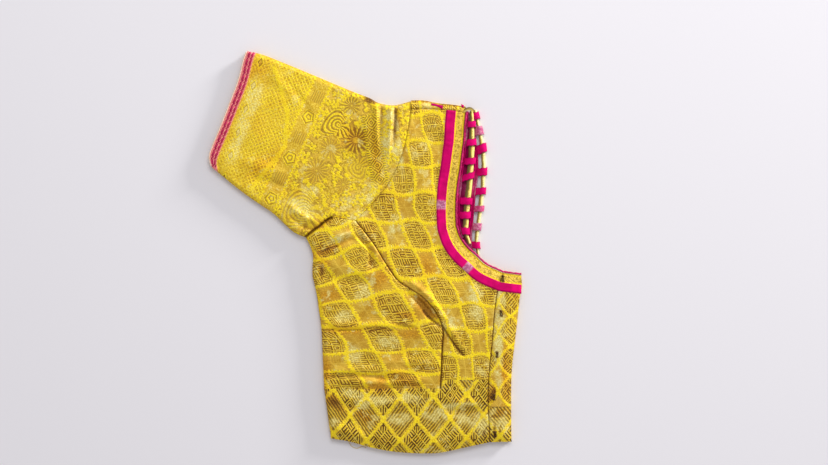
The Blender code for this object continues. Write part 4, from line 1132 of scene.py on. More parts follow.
belt_brocade = brocade("belt_brocade", diamonds(), depth=0.75)
BELT_PITCH = 36.0
BELT_START = 1.3
BeltThread = namedtuple("BeltThread", "x first second third")
BELT_THREADS = [
    BeltThread(-70, -144, -167, -190), BeltThread(-32, -148.3, -172.5, -196.5),
    BeltThread(1.3, -156.3, -180, -203.5), BeltThread(37, -156.8, -181.4, -203),
    BeltThread(74, -155.5, -180.5, -202), BeltThread(107.5, -153.6, -178.5, -200.7),
    BeltThread(127, -152.2, -175.8, -199), BeltThread(160, -151, -174, -198),
]


def belt_weave(places):
    """Each place in units of the lattice, whose rows of crossings sag across the belt."""
    x, y = places[:, 0], places[:, 1]
    first, second, third = (
        np.interp(x, values(BELT_THREADS, "x"), values(BELT_THREADS, label))
        for label in ("first", "second", "third")
    )
    upper = (y - first) / (first - second) / 2
    lower = -0.5 + (y - second) / (second - third) / 2
    return np.column_stack([(x - BELT_START) / BELT_PITCH, np.where(y > second, upper, lower)])


centre_left = joined(armhole[::-1], princess_seam)
centre_right = joined(chest_neck[::-1], neck_to_placket, placket_seam[: PLACKET_BELT_LEVEL * STEPS + 1])
centre_bottom = straight(centre_left[-1], centre_right[-1], CENTRE_COLUMNS)
centre_grid = patch(centre_left, centre_right, resample(shoulder_seam, CENTRE_COLUMNS), centre_bottom)
centre_panel = cloth_shell(
    "front_centre_panel_cloth", drawn_in(centre_grid, "left", "right", "start"), "front_centre_panel",
    body_brocade, centre_weave, border=Border(BORDER_LEVEL, belt_brocade, belt_weave),
)

# ---------------------------------------------------------------------------------------------------------
# Waist belt. A band of the cloth's woven border, a lattice of diamonds in zari, joined on at the waist. It
# turns under at the side and ends at the placket, and its lower edge is the blouse's hem.

BELT_ROWS = 3 * STEPS
belt_top = joined(side_bottom, centre_bottom)
belt_hem = joined(
    resample(hem[: HEM_WAIST_SEAM * STEPS + 1], SIDE_COLUMNS),
    resample(hem[HEM_WAIST_SEAM * STEPS :], CENTRE_COLUMNS),
)
belt_placket = placket_seam[PLACKET_BELT_LEVEL * STEPS :]
belt_grid = patch(resample(belt_side, BELT_ROWS), belt_placket, belt_top, belt_hem)
belt = cloth_shell(
    "waist_belt_cloth", drawn_in(belt_grid, "right"), "waist_belt", belt_brocade,
    belt_weave, folds=("left",),
)

# ---------------------------------------------------------------------------------------------------------
# Hook placket. A doubled strip of brocade, sewn down the centre front to carry the eyes. It is in two pieces
# that meet at the belt's seam, and the lower one is of the belt's weave.

placket_brocade = brocade("placket_brocade", trellis_tree, blocks=2.9)
PLACKET_COLUMNS = 24
PLACKET_CELL = (26.0, 32.5)
PLACKET_START = (156.5, -53.0)


def placket_weave(places):
    """The strip is cut on the slant of the trellis, so that its labyrinths stand point to point."""
    a, b = ((places - PLACKET_START) / PLACKET_CELL).T
    return np.column_stack([a + b, a - b])


placket_row = PLACKET_BELT_SEAM * STEPS
placket_across = straight(placket_seam[placket_row], front_edge[placket_row], PLACKET_COLUMNS)
upper_grid = patch(
    placket_seam[: placket_row + 1], front_edge[: placket_row + 1],
    resample(placket_top, PLACKET_COLUMNS), placket_across,
)
lower_grid = patch(
    placket_seam[placket_row:], front_edge[placket_row:],
    placket_across, resample(placket_hem, PLACKET_COLUMNS),
)
placket = cloth_shell(
    "hook_placket_cloth", drawn_in(upper_grid, "left", "end"), "hook_placket",
    placket_brocade, placket_weave,
)
placket_belt = cloth_shell(
    "placket_belt_cloth", drawn_in(lower_grid, "left", "start"), "placket_belt",
    belt_brocade, belt_weave,
)

# ---------------------------------------------------------------------------------------------------------
# Sleeve. One piece of brocade folded along its top and its underarm seam, with small pleats at its cap. It
# has its own weave: a fine diaper from the hem to a zigzag border, then flowers and paisleys up to the cap.

UNDER_HEM_SHOWS = 1.6
HEM_ROWS = 6
SLEEVE_COLUMNS = 150

# The woven border across the sleeve: a point on its edge line, and the way the line runs.
BORDER_AT = (-77.5, 136.6)
BORDER_TURN = math.radians(-114.5)
BORDER_STRIP = 21.0
BUTI_PITCH = 48.3
BUTI_START = 33.5
DIAPER = 5.0
LOZENGE_AT = (-137.5, 129.4)
LOZENGE_TURN = math.radians(-107.7)
LOZENGE_PITCH = 26.4
DOTTED = [(-98.0, 199.0), (-84.0, 150.0), (-87.0, 114.0), (-124.0, 68.0)]
Motif = namedtuple("Motif", "x y reach petals core weight turn")
DAISIES = [
    Motif(-10.3, 120.7, 17, 15, 0.20, 0.75, 0),
    Motif(-52.9, 88, 15, 18, 0.08, 0.38, 0),
    Motif(-24, 73, 9, 12, 0.16, 0.26, 0),
    Motif(-15, 158, 11, 14, 0.10, 0.58, 0),
    Motif(-38, 112, 13, 16, 0.10, 0.26, 0),
]
PAISLEYS = [
    Motif(-29.5, 137, 13, 12, 0.16, 0.78, -35),
    Motif(-66, 44, 20, 11, 0.14, 0.42, -22),
    Motif(-8, 92, 11, 12, 0.14, 0.30, 60),
    Motif(-62, 140, 9, 9, 0.14, 0.30, 20),
]
SQUARES_AT = (10.7, 109.0)
SQUARES_TURN = math.radians(-82.0)
SQUARES_PITCH = 15.5
SQUARES_HALF = 6.2
SQUARES_REACH = (-40.0, 36.0)


def sleeve_weave(places):
    """The sleeve's weave is drawn in millimetres."""
    return places


def turned(x, y, at, angle):
    """Coordinates along and across a direction, from a point."""
    x, y = x - at[0], y - at[1]
    c, s = math.cos(angle), math.sin(angle)
    return x * c + y * s, y * c - x * s


def florets(places, pitch):
    """Small scattered blossoms, one to a random cell of about a pitch: their bright petals and their rims."""
    tree = places.tree
    cells = tree.nodes.new("ShaderNodeTexVoronoi")
    cells.voronoi_dimensions = "2D"
    cells.inputs["Scale"].default_value = 1 / pitch
    cells.inputs["Randomness"].default_value = 0.75
    tree.links.new(places.socket, cells.inputs["Vector"])
    x, y = parts(places)
    at_x, at_y = parts(Field(tree, cells.outputs["Position"]))
    p, q = x - at_x, y - at_y
    spin = chance((at_x * 7.0).floor(), (at_y * 7.0).floor(), 1.0)
    far = span(p, q) / pitch
    angle = q.maths("ARCTAN2", p) + spin * 6.0
    petal = (angle * 2.5).cos().size() * 0.26 + 0.22
    rim = (far - petal - 0.07).size().ramp(0.09, 0.04).most(far.ramp(0.11, 0.07))
    leaf = (far - petal).ramp(0.0, -0.05) * (far - 0.10).ramp(0.0, 0.03)
    return leaf, rim


def segment(x, y, start, end):
    """Distances along and off a straight line between two points. Past its ends the second one grows."""
    length = math.hypot(end[0] - start[0], end[1] - start[1])
    along, off = turned(x, y, start, math.atan2(end[1] - start[1], end[0] - start[0]))
    past = (along - length).most(along * -1.0).most(0.0)
    return along, span(off, past)


def sleeve_pattern():
    """A fine diaper from the hem to a zigzag border with pentagon sprigs, then daisies, paisleys and a strip
    of nested squares on a ground of small blossoms."""
    tree, given, put = group("sleeve pattern", ("Millimetres",), MASKS)
    x, y = parts(given["Millimetres"])
    wander = noise(given["Millimetres"], 0.12, 1.0) - 0.5
    x, y = x + wander * 2.4, y + wander * 2.0
    along, across = turned(x, y, BORDER_AT, BORDER_TURN)
    inside = across.ramp(BORDER_STRIP - 0.5, BORDER_STRIP + 0.5)
    hemward = across.ramp(0.5, -0.5)
    strip = (1.0 - inside) * (1.0 - hemward)
    patches = noise(given["Millimetres"], 0.055, 2.0, 0.6)
    fine = noise(given["Millimetres"], 0.55, 2.0, 0.6)

    # Ground: blossoms on the upper sleeve, and a diaper of small diamonds near the hem.
    ragged = (fine - 0.5) * 6.0
    leaf, rim = florets(vector_of(x + ragged, y - ragged), 17.0)
    buds, ribs = florets(vector_of(x + 3.1 + ragged, y - 1.7 - ragged), 11.0)
    leafy = patches.ramp(0.44, 0.5)
    a, b = (along + across) / DIAPER, (along - across) / DIAPER
    net = a.wave().most(b.wave()).ramp(0.33, 0.43)
    pip = (a.wave() + b.wave()).ramp(0.26, 0.12)
    near = across.ramp(-60.0, -10.0) * 0.5 + noise(given["Millimetres"], 0.04, 1.0).ramp(0.4, 0.56) * 0.5
    fleck = fine.ramp(0.5, 0.6)
    line = leaf.pick(buds, leafy) * inside + (net * (0.4 + near * 0.6)).most(fleck * 0.4) * hemward
    stroke = rim.pick(ribs, leafy) * inside * (0.42 + fleck * 0.25)
    stroke = stroke + pip * (0.3 + near * 0.5) * hemward * 0.7
    satin = inside * patches.ramp(0.52, 0.40) * 0.7

    # Lozenges in a row by the hem.
    down, off = turned(x, y, LOZENGE_AT, LOZENGE_TURN)
    down = down - ((down / LOZENGE_PITCH + 0.5).floor() * LOZENGE_PITCH)
    lozenge = down.size() / 6.6 + off.size() / 3.7
    line = line.pick((lozenge - 1.0).size().ramp(0.22, 0.12), lozenge.ramp(1.25, 1.15))
    stroke = stroke.pick((lozenge - 0.68).size().ramp(0.18, 0.08) * 0.8, lozenge.ramp(1.25, 1.15))
    lesser = (down.size() - LOZENGE_PITCH / 2).size() / 3.4 + off.size() / 1.7
    stroke = stroke.most((lesser - 1.0).size().ramp(0.3, 0.15) * 0.35)

    # The border's two zigzags of dots, its dotted hemward lines, and its sprigs.
    zigzag = (along / 4.6).wave() * 4.4
    for place in (-1.8, BORDER_STRIP - 3.2):
        off = (across - place - zigzag).size()
        tick = (along / 2.3).wave().ramp(0.12, 0.3)
        line = line.most(off.ramp(1.5, 0.9))
        stroke = (stroke * off.ramp(1.0, 1.8)).most(off.ramp(0.9, 0.4) * tick * 0.85)
    for start, end in zip(DOTTED, DOTTED[1:]):
        run, off = segment(x, y, start, end)
        dot = (run / 2.7).wave().ramp(0.32, 0.2) * (off - 1.4).size().ramp(0.75, 0.4)
        line = line.most(off.ramp(2.6, 2.0) * 0.9)
        stroke = (stroke * off.ramp(2.0, 2.6)).most(dot * 0.75)
    cell = ((along - BUTI_START) / BUTI_PITCH + 0.5).floor()
    sprig_along = along - BUTI_START - cell * BUTI_PITCH
    sprig_across = across - BORDER_STRIP / 2
    reach = span(sprig_along, sprig_across)
    turn = sprig_across.maths("ARCTAN2", sprig_along)
    facet = (((turn * (5 / math.tau)).fract() - 0.5) * (math.tau / 5)).cos()
    five = reach * facet
    sprig = five.ramp(7.2, 6.8)
    ring = (five / 3.2 + 0.25).wave().ramp(0.34, 0.2)
    line = line.pick(ring, sprig * strip)
    stroke = stroke.pick((1.0 - ring) * 0.48, sprig * strip)
    stripe = (sprig_across / 2.3).wave().ramp(0.32, 0.16)
    block = (sprig_along.size() - BUTI_PITCH / 2).size().ramp(7.0, 6.5)
    block = block * sprig_across.size().ramp(6.4, 6.0) * strip
    line = line.pick((1.0 - stripe) * 0.3, block)
    stroke = stroke.pick(stripe * 0.35, block)
    satin = satin.most(block).most(strip * fine.ramp(0.5, 0.6) * 0.3)

    # Daisies: petals round a disc.
    for motif in DAISIES:
        p, q = x - motif.x, y - motif.y
        far = span(p, q) / motif.reach
        angle = q.maths("ARCTAN2", p)
        edge = 0.84 + (angle * (motif.petals / 2)).sin() * 0.1 + (fine - 0.5) * 0.5
        flower = (far - edge).ramp(0.08, -0.06)
        ray = (angle * motif.petals + (fine - 0.5) * 4.0).cos()
        disc = far.ramp(motif.core + 0.03, motif.core - 0.03)
        petals = (ray.ramp(-0.3, 0.6) * 0.6 + 0.4) * (1.0 - disc) * motif.weight
        gaps = ray.ramp(-0.4, -0.9) * far.ramp(motif.core, 0.5) * (0.3 + motif.weight * 0.65)
        line = line.pick(gaps + disc * 0.4, flower)
        stroke = stroke.pick(petals + disc * 0.15, flower)
        satin = satin.pick(1.0 - disc * 0.5, flower)

    # Paisleys: arcs one within the other on the side away from the point, and a fan of leaves at the point.
    for motif in PAISLEYS:
        p, q = turned(x, y, (motif.x, motif.y), math.radians(motif.turn))
        q = q + p * p * (0.22 / motif.reach)
        q = q * (1.0 + p * (0.5 / motif.reach))
        far = (p * p * 0.62 + q * q).maths("SQRT") / motif.reach
        angle = q.maths("ARCTAN2", p)
        shape = (far + (fine - 0.5) * 0.2).ramp(1.0, 0.92) * inside
        arcs = ((far * motif.reach + (fine - 0.5) * 0.9) / 2.8).wave().ramp(0.34, 0.18)
        leaves = (angle * motif.petals + (fine - 0.5) * 3.0).cos().ramp(-0.2, 0.6)
        front = (p / motif.reach + (fine - 0.5) * 0.6).ramp(0.05, 0.35)
        fringe = far.ramp(0.78, 0.84) * leaves
        line = line.pick(arcs.pick(1.0 - leaves, front) * (0.4 + motif.weight * 0.6), shape)
        stroke = stroke.pick(((1.0 - arcs) * 0.75).most(fringe).pick(leaves, front) * motif.weight, shape)
        satin = satin.pick(0.6, shape)

    # A strip of nested squares on their points, edged with dotted chains.
    p, q = turned(x, y, SQUARES_AT, SQUARES_TURN)
    row = (p / SQUARES_PITCH + 0.5).floor()
    local = p - row * SQUARES_PITCH
    square = (local.size() + q.size()) / 7.4
    low, high = SQUARES_REACH
    ends = p.ramp(low - 3, low + 3) * p.ramp(high + 3, high - 3)
    held = q.size().ramp(SQUARES_HALF + 0.3, SQUARES_HALF - 0.3) * ends
    nest = (square * 2.2).wave().ramp(0.32, 0.18)
    line = line.pick((1.0 - nest) * 0.6, held)
    stroke = stroke.pick(nest * (0.55 + fleck * 0.4), held)
    chain = (q.size() - SQUARES_HALF - 1.7).size().ramp(1.5, 1.1) * ends
    bead = (p / 2.6).wave().ramp(0.34, 0.2)
    line = line.pick(1.0 - bead, chain)
    stroke = stroke.pick(bead * 0.7, chain)

    put("Line", line.least(1.0))
    put("Stroke", stroke.least(1.0).most(0.0))
    put("Satin", satin)
    put("Rib", noise(given["Millimetres"], 0.7, 1.0))
    put("Luck", patches)
    return tree


sleeve_brocade = brocade("sleeve_brocade", sleeve_pattern())
sleeve_armhole = joined(straight(shoulder_fold[0], shoulder_seam[0], STEPS), armhole[::-1], lower_armhole)
sleeve_grid = patch(
    sleeve_top, sleeve_bottom, resample(sleeve_hem, SLEEVE_COLUMNS), resample(sleeve_armhole, SLEEVE_COLUMNS)
)
for row in range(HEM_ROWS):
    share = (1 - row / HEM_ROWS) * UNDER_HEM_SHOWS
    sleeve_grid[row] += unit(sleeve_grid[HEM_ROWS] - sleeve_grid[row]) * share
sleeve = cloth_shell(
    "sleeve_cloth", drawn_in(sleeve_grid, "end"), "sleeve", sleeve_brocade,
    sleeve_weave, folds=("left", "right"),
)

# ---------------------------------------------------------------------------------------------------------
# Shoulder fold. The back's shoulder, of the same brocade, is turned over the top edge and joined to the
# front at the shoulder seam.

FOLD_COLUMNS = 10
shoulder_grid = patch(
    shoulder_seam, shoulder_fold,
    straight(shoulder_seam[0], shoulder_fold[0], FOLD_COLUMNS),
    straight(shoulder_seam[-1], shoulder_fold[-1], FOLD_COLUMNS),
)
shoulder = cloth_shell(
    "shoulder_fold_cloth", drawn_in(shoulder_grid, "left", "start"), "shoulder_fold",
    body_brocade, centre_weave, folds=("right",),
)

# ---------------------------------------------------------------------------------------------------------
# Pink satin. A strip is stitched flat on the front beside the neck, and the back's own strip shows on the
# shoulder fold.

TRIM_RELIEF = 0.0001
SATIN_GLOSS = 0.08


def satin_finish():
    """Satin from its threads. Its grey-pink share turns it a glossier grey-pink: painted sheen on the back's
    facings and pipings, and grey-pink patches on the neck band and some tabs. Edge darkens it: stitching
    along the neck band, painted shade on the facings and at the tabs' rims, and a darker tone on the pipings
    and shoulder strip.
    """
    tree, given, put = group("satin finish", ("Place", "Fade", "Edge"), ("Color", "Roughness", "Height"))
    place = given["Place"]
    threads = noise(place, 1.6, 2.0, 0.6)
    cloud = noise(place, 0.09, 2.0, 0.5)
    pink = coloured(tree, cloud.ramp(0.35, 0.65), dye(196, 0, 92), dye(222, 0, 108))
    pink = coloured(tree, threads.ramp(0.42, 0.62) * 0.3, pink, dye(236, 0, 122))
    pink = coloured(tree, given["Edge"], pink, dye(118, 0, 60))
    patches = noise(place, 0.4, 2.0, 0.6).ramp(0.4, 0.62)
    grey_pink = coloured(tree, patches, dye(176, 92, 130), dye(212, 150, 170))
    put("Color", coloured(tree, given["Fade"], pink, grey_pink))
    put("Roughness", 0.7 - given["Fade"] * 0.3 + threads * 0.08)
    put("Height", threads)
    return tree


def trim_material(name, look, *labels, **fixed):
    """Material of a trim. Its mesh has an attribute for each of the labels, and fixed gives the look's other
    inputs."""
    made, finish = material_with(name, look, TRIM_RELIEF, {label: label.lower() for label in labels})
    for label, value in fixed.items():
        finish.inputs[label].default_value = value
    return made


pink_satin = trim_material("pink_satin", satin_finish(), "Fade", "Edge")
pink_satin.node_tree.nodes["Principled BSDF"].inputs["Specular IOR Level"].default_value = SATIN_GLOSS


def laid_strip(name, grid, rise, wall, finish, **shares):
    """A strip laid on the dressed cloth: plan points, and how far its top stands over the cloth at each."""
    flat = grid.reshape(-1, 2)
    height = cloth_top(flat)[0] + np.broadcast_to(rise, grid.shape[:2]).ravel()
    piece = mesh_piece(name, np.column_stack([flat, height]), upward_faces(grid), flat)
    give(piece, **shares)
    thicken(piece, wall)
    piece.data.materials.append(finish)
    return piece


def sideways(line):
    """Unit vectors across a line, to the right of its direction."""
    along = unit(np.gradient(line, axis=0))
    return np.column_stack([along[:, 1], -along[:, 0]])


BAND_INNER = 10.2
BAND_OUTER = 19.9
BAND_WIDER = 1.1
BAND_ROWS = 190
BAND_COLUMNS = 10
BAND_RISE = 0.95
BAND_LIP = 0.45
BAND_WALL = 0.6
PUCKER = 0.12
GREY_PINK_PATCHES = [(81.5, 51.5, 5.0), (110.3, -16.5, 5.6)]
GREY_PINK_EDGE = 1.2
STITCH_LINE = 1.1
STITCH_REACH = 0.35

neck_line = resample(neck_edge, BAND_ROWS)
neck_across = sideways(neck_line)
neck_across[-1] = (0, -1)
band_share = np.linspace(0, 1, BAND_COLUMNS)
band_width = BAND_OUTER - BAND_INNER + BAND_WIDER * np.linspace(1, 0, BAND_ROWS + 1)
band_grid = neck_line[:, None] + neck_across[:, None] * (
    BAND_INNER + band_width[:, None, None] * band_share[None, :, None]
)
band_rim = np.minimum(band_share, 1 - band_share) * (BAND_OUTER - BAND_INNER)
band_rows = np.linspace(0, 1, BAND_ROWS + 1)[:, None]
pucker = PUCKER * np.sin(band_rows * 160.0 + 2.0 * np.sin(band_rows * 37.0))
band_rise = BAND_LIP + (BAND_RISE - BAND_LIP) * np.clip(band_rim / 1.2, 0, 1)
band_rise = band_rise + pucker * np.clip(band_rim / 3, 0, 1)
grey_pink = np.zeros(band_grid.shape[:2])
band_middle = neck_line + neck_across * (BAND_INNER + BAND_OUTER) / 2
for x, y, reach in GREY_PINK_PATCHES:
    middle = np.linalg.norm(band_middle - (x, y), axis=1).argmin()
    run = np.abs(np.arange(BAND_ROWS + 1) - middle) * np.linalg.norm(neck_line[1] - neck_line[0])
    grey_pink = np.maximum(grey_pink, np.clip((reach - run) / GREY_PINK_EDGE, 0, 1)[:, None])
stitched = np.exp(-(((band_rim - STITCH_LINE) / STITCH_REACH) ** 2)) + np.zeros_like(grey_pink)
neck_band = laid_strip(
    "neck_band_satin", band_grid, band_rise, BAND_WALL, pink_satin, fade=grey_pink, edge=stitched * 0.5
)
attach(neck_band, "root")
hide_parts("neck_band")

ShoulderBand = namedtuple("ShoulderBand", "x y width lean")
SHOULDER_BAND = [
    ShoulderBand(71, 161, 2.4, 0),
    ShoulderBand(76, 160.2, 2.4, 0),
    ShoulderBand(80, 159.2, 3, -0.6),
    ShoulderBand(84, 158.4, 4.6, -0.8),
]
SHOULDER_BAND_RISE = 1.4
BAND_TIP_RISE = 1.2
BAND_TIP = np.array([[(103.4, 160.0), (103.6, 156.8)], [(106.6, 158.6), (105.8, 155.6)]])
outer = smooth_line(column(SHOULDER_BAND, "x", "y"), 6)
inner = smooth_line([(b.x + b.lean, b.y - b.width) for b in SHOULDER_BAND], 6)
shoulder_strip = outer[:, None] + (inner - outer)[:, None] * np.linspace(0, 1, 6)[None, :, None]
shoulder_band = laid_strip(
    "shoulder_band_satin", shoulder_strip, SHOULDER_BAND_RISE, BAND_WALL, pink_satin,
    fade=np.zeros(shoulder_strip.shape[:2]), edge=np.full(shoulder_strip.shape[:2], 0.5),
)
band_tip = laid_strip(
    "shoulder_band_end", BAND_TIP, BAND_TIP_RISE, BAND_WALL, pink_satin,
    fade=np.zeros((2, 2)), edge=np.full((2, 2), 0.3),
)
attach(band_tip, "root")
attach(shoulder_band, "root")
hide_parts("shoulder_band")

# ---------------------------------------------------------------------------------------------------------
# Neck piping. A crimson cord wrapped in bias-cut cloth, sewn along the neck's edge from the shoulder to the
# placket. It hides the raw edges of the front and its facing.


def around(sides):
    """The angles of the points round a section."""
    return np.arange(sides) * math.tau / sides


def oval_rings(centres, across, half_width, half_height, sides):
    """The points of level oval sections round the points of a line."""
    half_width = np.broadcast_to(half_width, len(centres))[:, None]
    half_height = np.broadcast_to(half_height, len(centres))[:, None]
    points = np.repeat(centres[:, None], sides, axis=1)
    points[..., :2] += across[:, None] * (half_width * np.cos(around(sides)))[..., None]
    points[..., 2] += half_height * np.sin(around(sides))
    return points


def tube_faces(count, sides):
    """Faces of a tube of so many sections, closed at both its ends."""
    ends = [[first * sides + k for k in range(sides)] for first in (0, count - 1)]
    return grid_faces(count, sides, closed=True) + ends


def copies(faces, size, count):
    """The faces of a piece made of so many like parts, where each part has so many points."""
    return [[k + size * part for k in face] for part in range(count) for face in faces]


def bundle(name, tubes, finish):
    """Closed tubes with equal numbers of points, as one mesh. Each is given as the rings of its sections."""
    count, sides = tubes[0].shape[:2]
    points = np.vstack([rings.reshape(-1, 3) for rings in tubes])
    faces = copies(tube_faces(count, sides), count * sides, len(tubes))
    piece = mesh_piece(name, points, faces, points[:, :2])
    outwards(piece)
    piece.data.materials.append(finish)
    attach(piece, "root")


def tube(name, centres, half_width, half_height, sides, finish, **shares):
    """A closed tube of an oval section. Shares for its points, such as fade or across, may be given to it."""
    points = oval_rings(centres, sideways(centres[:, :2]), half_width, half_height, sides)
    places = np.stack(np.broadcast_arrays(run_along(centres)[:, None], np.cos(around(sides))[None]), axis=-1)
    faces = tube_faces(len(centres), sides)
    piece = mesh_piece(name, points.reshape(-1, 3), faces, places.reshape(-1, 2))
    give(piece, **{label: np.broadcast_to(share, points.shape[:2]) for label, share in shares.items()})
    outwards(piece)
    piece.data.materials.append(finish)
    return piece


def yarn_finish():
    """Twisted or woven yarn in two shades."""
    tree, given, put = group(
        "yarn finish", ("Place", "Dark", "Light", "Scale"), ("Color", "Roughness", "Height")
    )
    strands = noise(given["Place"], given["Scale"], 2.0, 0.6)
    put("Color", coloured(tree, strands.ramp(0.38, 0.64), given["Dark"], given["Light"]))
    put("Roughness", 0.5 + strands * 0.2)
    put("Height", strands)
    return tree


yarn_look = yarn_finish()


def yarn(name, dark, light, scale):
    """Material of a yarn. A greater scale makes its strands finer."""
    return trim_material(name, yarn_look, Dark=dark, Light=light, Scale=scale)


PIPING_GAP = 0.3
PIPING_RADIUS = 1.05
PIPING_HEIGHT = 6.6
PIPING_STEPS = 260
PIPING_SIDES = 12
crimson_piping = yarn("crimson_piping", dye(158, 0, 78), dye(220, 4, 112), 0.9)
piping_line = resample(neck_edge, PIPING_STEPS)
piping_across = sideways(piping_line)
piping_across[-1] = (0, -1)
station = np.arange(len(piping_line))
wobble = 0.08 * np.sin(station * 0.9) + 0.06 * np.sin(station * 0.37)
piping_centres = piping_line - piping_across * (PIPING_GAP + PIPING_RADIUS + wobble[:, None])
piping_centres = np.column_stack([piping_centres, PIPING_HEIGHT + wobble])
neck_piping = tube(
    "neck_piping_cord", piping_centres, PIPING_RADIUS + wobble, PIPING_RADIUS, PIPING_SIDES,
    crimson_piping,
)
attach(neck_piping, "root")
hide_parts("neck_piping")

# ---------------------------------------------------------------------------------------------------------
# Sleeve braid. A plaited salmon tape with two columns of crimson strands is sewn on the sleeve's hem between
# a pale and a golden cord.

BRAID_WIDTH = 8.5
BRAID_LIFT = 0.5
TAPE_WALL = 0.6
HEM_END = 1.5
CORD_END = 0.8
CORD_STATIONS = 120
HEM_CORD_SIDES = 8
STRAND_PITCH = 8.7
STRAND_STEPS = 9
STRAND_SIDES = 6
Strand = namedtuple("Strand", "name across start length swing half_width height")
STRANDS = [
    Strand("salmon", 0.1, 1.5, 6.6, -0.5, 1.1, 0.85), Strand("salmon", 0.1, 5.9, 6.6, -0.5, 1.1, 0.85),
    Strand("crimson", 2.5, 3, 7.2, -0.3, 1.3, 0.95), Strand("crimson", 2.8, 7.3, 5.4, -1.1, 0.95, 0.85),
    Strand("salmon", 4.5, 2.6, 6.4, -0.5, 0.7, 1), Strand("salmon", 4.2, 6.9, 5.6, -1.4, 0.6, 1),
    Strand("crimson", 6.4, 2.1, 7.2, -0.4, 1.15, 0.95), Strand("crimson", 6.2, 6.3, 4, -1, 0.6, 0.8),
    Strand("salmon", 8.1, 1.9, 6, -0.4, 0.7, 0.8), Strand("salmon", 8.1, 6.2, 6, -0.4, 0.7, 0.8),
]
salmon_braid = yarn("salmon_braid", dye(244, 104, 116), dye(255, 172, 158), 1.4)
crimson_braid = yarn("crimson_braid", dye(160, 0, 62), dye(216, 12, 98), 1.4)
gold_cord = yarn("gold_cord", dye(190, 132, 30), dye(240, 200, 70), 1.2)
pale_cord = yarn("pale_cord", dye(232, 186, 150), dye(250, 226, 206), 1.2)

hem_line = sleeve_grid[0]
into = unit(sleeve_grid[HEM_ROWS] - hem_line)
tape_grid = hem_line[None] + into[None] * (BRAID_WIDTH * np.linspace(0, 1, 8))[:, None, None]
cloth_shell(
    "sleeve_braid_tape", tape_grid, "sleeve_braid", salmon_braid, sleeve_weave,
    folds=("left", "right"), lift=BRAID_LIFT, thickness=TAPE_WALL,
)
hem_run_length = run_along(hem_line)


def on_hem(along, across):
    """Plan place at a distance along the sleeve's hem and in from it."""
    place, way = (
        np.column_stack([np.interp(along, hem_run_length, line[:, k]) for k in (0, 1)])
        for line in (hem_line, into)
    )
    return place + way * np.asarray(across)[:, None]


for colour, finish in (("crimson", crimson_braid), ("salmon", salmon_braid)):
    tubes = []
    t = np.linspace(-1, 1, STRAND_STEPS)
    full = np.sqrt(np.clip(1 - t * t * 0.97, 0, 1))
    for strand in (s for s in STRANDS if s.name == colour):
        across = strand.across + strand.swing * np.sin(t * math.pi / 2)
        for centre in np.arange(strand.start, hem_run_length[-1] - HEM_END, STRAND_PITCH):
            middle = on_hem(centre + strand.length / 2 * t, across)
            centres = np.column_stack([middle, cloth_top(middle)[0] + BRAID_LIFT])
            sizes = strand.half_width * full, strand.height * full
            tubes.append(oval_rings(centres, sideways(middle), *sizes, STRAND_SIDES))
    bundle("sleeve_braid_" + colour, tubes, finish)

cord_along = np.linspace(CORD_END, hem_run_length[-1] - CORD_END, CORD_STATIONS)
for name, across, radius, finish in (
    ("sleeve_outer_cord", -1.4, 0.8, pale_cord),
    ("sleeve_inner_cord", BRAID_WIDTH + 0.5, 0.65, gold_cord),
):
    place = on_hem(cord_along, np.full(len(cord_along), across))
    level = cloth_top(on_hem(cord_along, np.full(len(cord_along), max(across, 0.4))))[0] + radius * 0.6
    cord = tube(name, np.column_stack([place, level]), radius, radius, HEM_CORD_SIDES, finish)
    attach(cord, "root")

# ---------------------------------------------------------------------------------------------------------
# Back halves. Inside the neck each half of the open back shows a faced strip with a piped edge. Satin tabs
# come from the piping and hold a cord of brocade that runs beside it like a ladder's rail.

Rung = namedtuple("Rung", "name edge_x edge_y cord_x cord_y cord_half_width")
UPPER_LADDER = [
    Rung("shoulder", 110.6, 152.5, 114.4, 153, 1.9),
    Rung("first tab", 110, 137, 114.9, 138, 2.5),
    Rung("second tab", 108.8, 120, 114.8, 121, 3.2),
    Rung("third tab", 107, 103, 114.5, 104, 3.4),
    Rung("fourth tab", 105, 89, 113, 89, 3.4),
    Rung("middle", 103.6, 74.5, 112, 71, 3.5),
    Rung("fifth tab", 101.9, 59.5, 110, 53, 3.4),
    Rung("sixth tab", 101.3, 44.5, 108.5, 37, 3.3),
    Rung("seventh tab", 102, 29.5, 108.3, 22, 2.6),
    Rung("end", 105.3, 15.5, 112.6, 9, 2),
]
LOWER_LADDER = [
    Rung("shoulder", 115, 151.5, 118.4, 154, 1.5),
    Rung("first tab", 117, 138.5, 122, 137, 2),
    Rung("second tab", 119, 121, 125.4, 121, 2.3),
    Rung("third tab", 121, 101.5, 127.6, 103, 2.4),
    Rung("middle", 121, 83.5, 127.5, 86, 2.4),
    Rung("fifth tab", 118.7, 65, 126.4, 68, 2.4),
    Rung("sixth tab", 117, 47.5, 124.4, 48.5, 2.4),
    Rung("seventh tab", 115.5, 30.5, 121.8, 29.5, 2.2),
    Rung("eighth tab", 114.3, 15.5, 120, 13.5, 2),
    Rung("end", 115.6, 2.5, 122, -3, 1.6),
]
Tab = namedtuple("Tab", "y width lean fade")
UPPER_TABS = [
    Tab(138, 7, 0.05, 0), Tab(118, 7.6, 0.12, 0), Tab(98, 7.6, 0.05, 0), Tab(79.5, 7.6, 0.35, 0),
    Tab(55.5, 8, -0.05, 0), Tab(40, 8, 0, 0), Tab(23, 8, -0.05, 0),
]
LOWER_TABS = [
    Tab(147, 8, 0.2, 0), Tab(131, 10, 0.15, 0.75), Tab(110, 10, 0.42, 0), Tab(86.5, 8.6, 0.1, 0),
    Tab(65.5, 8, 0.1, 0), Tab(47, 6.6, 0, 0.45), Tab(27.5, 8, 0, 0.8), Tab(8, 7.6, -0.1, 0),
]
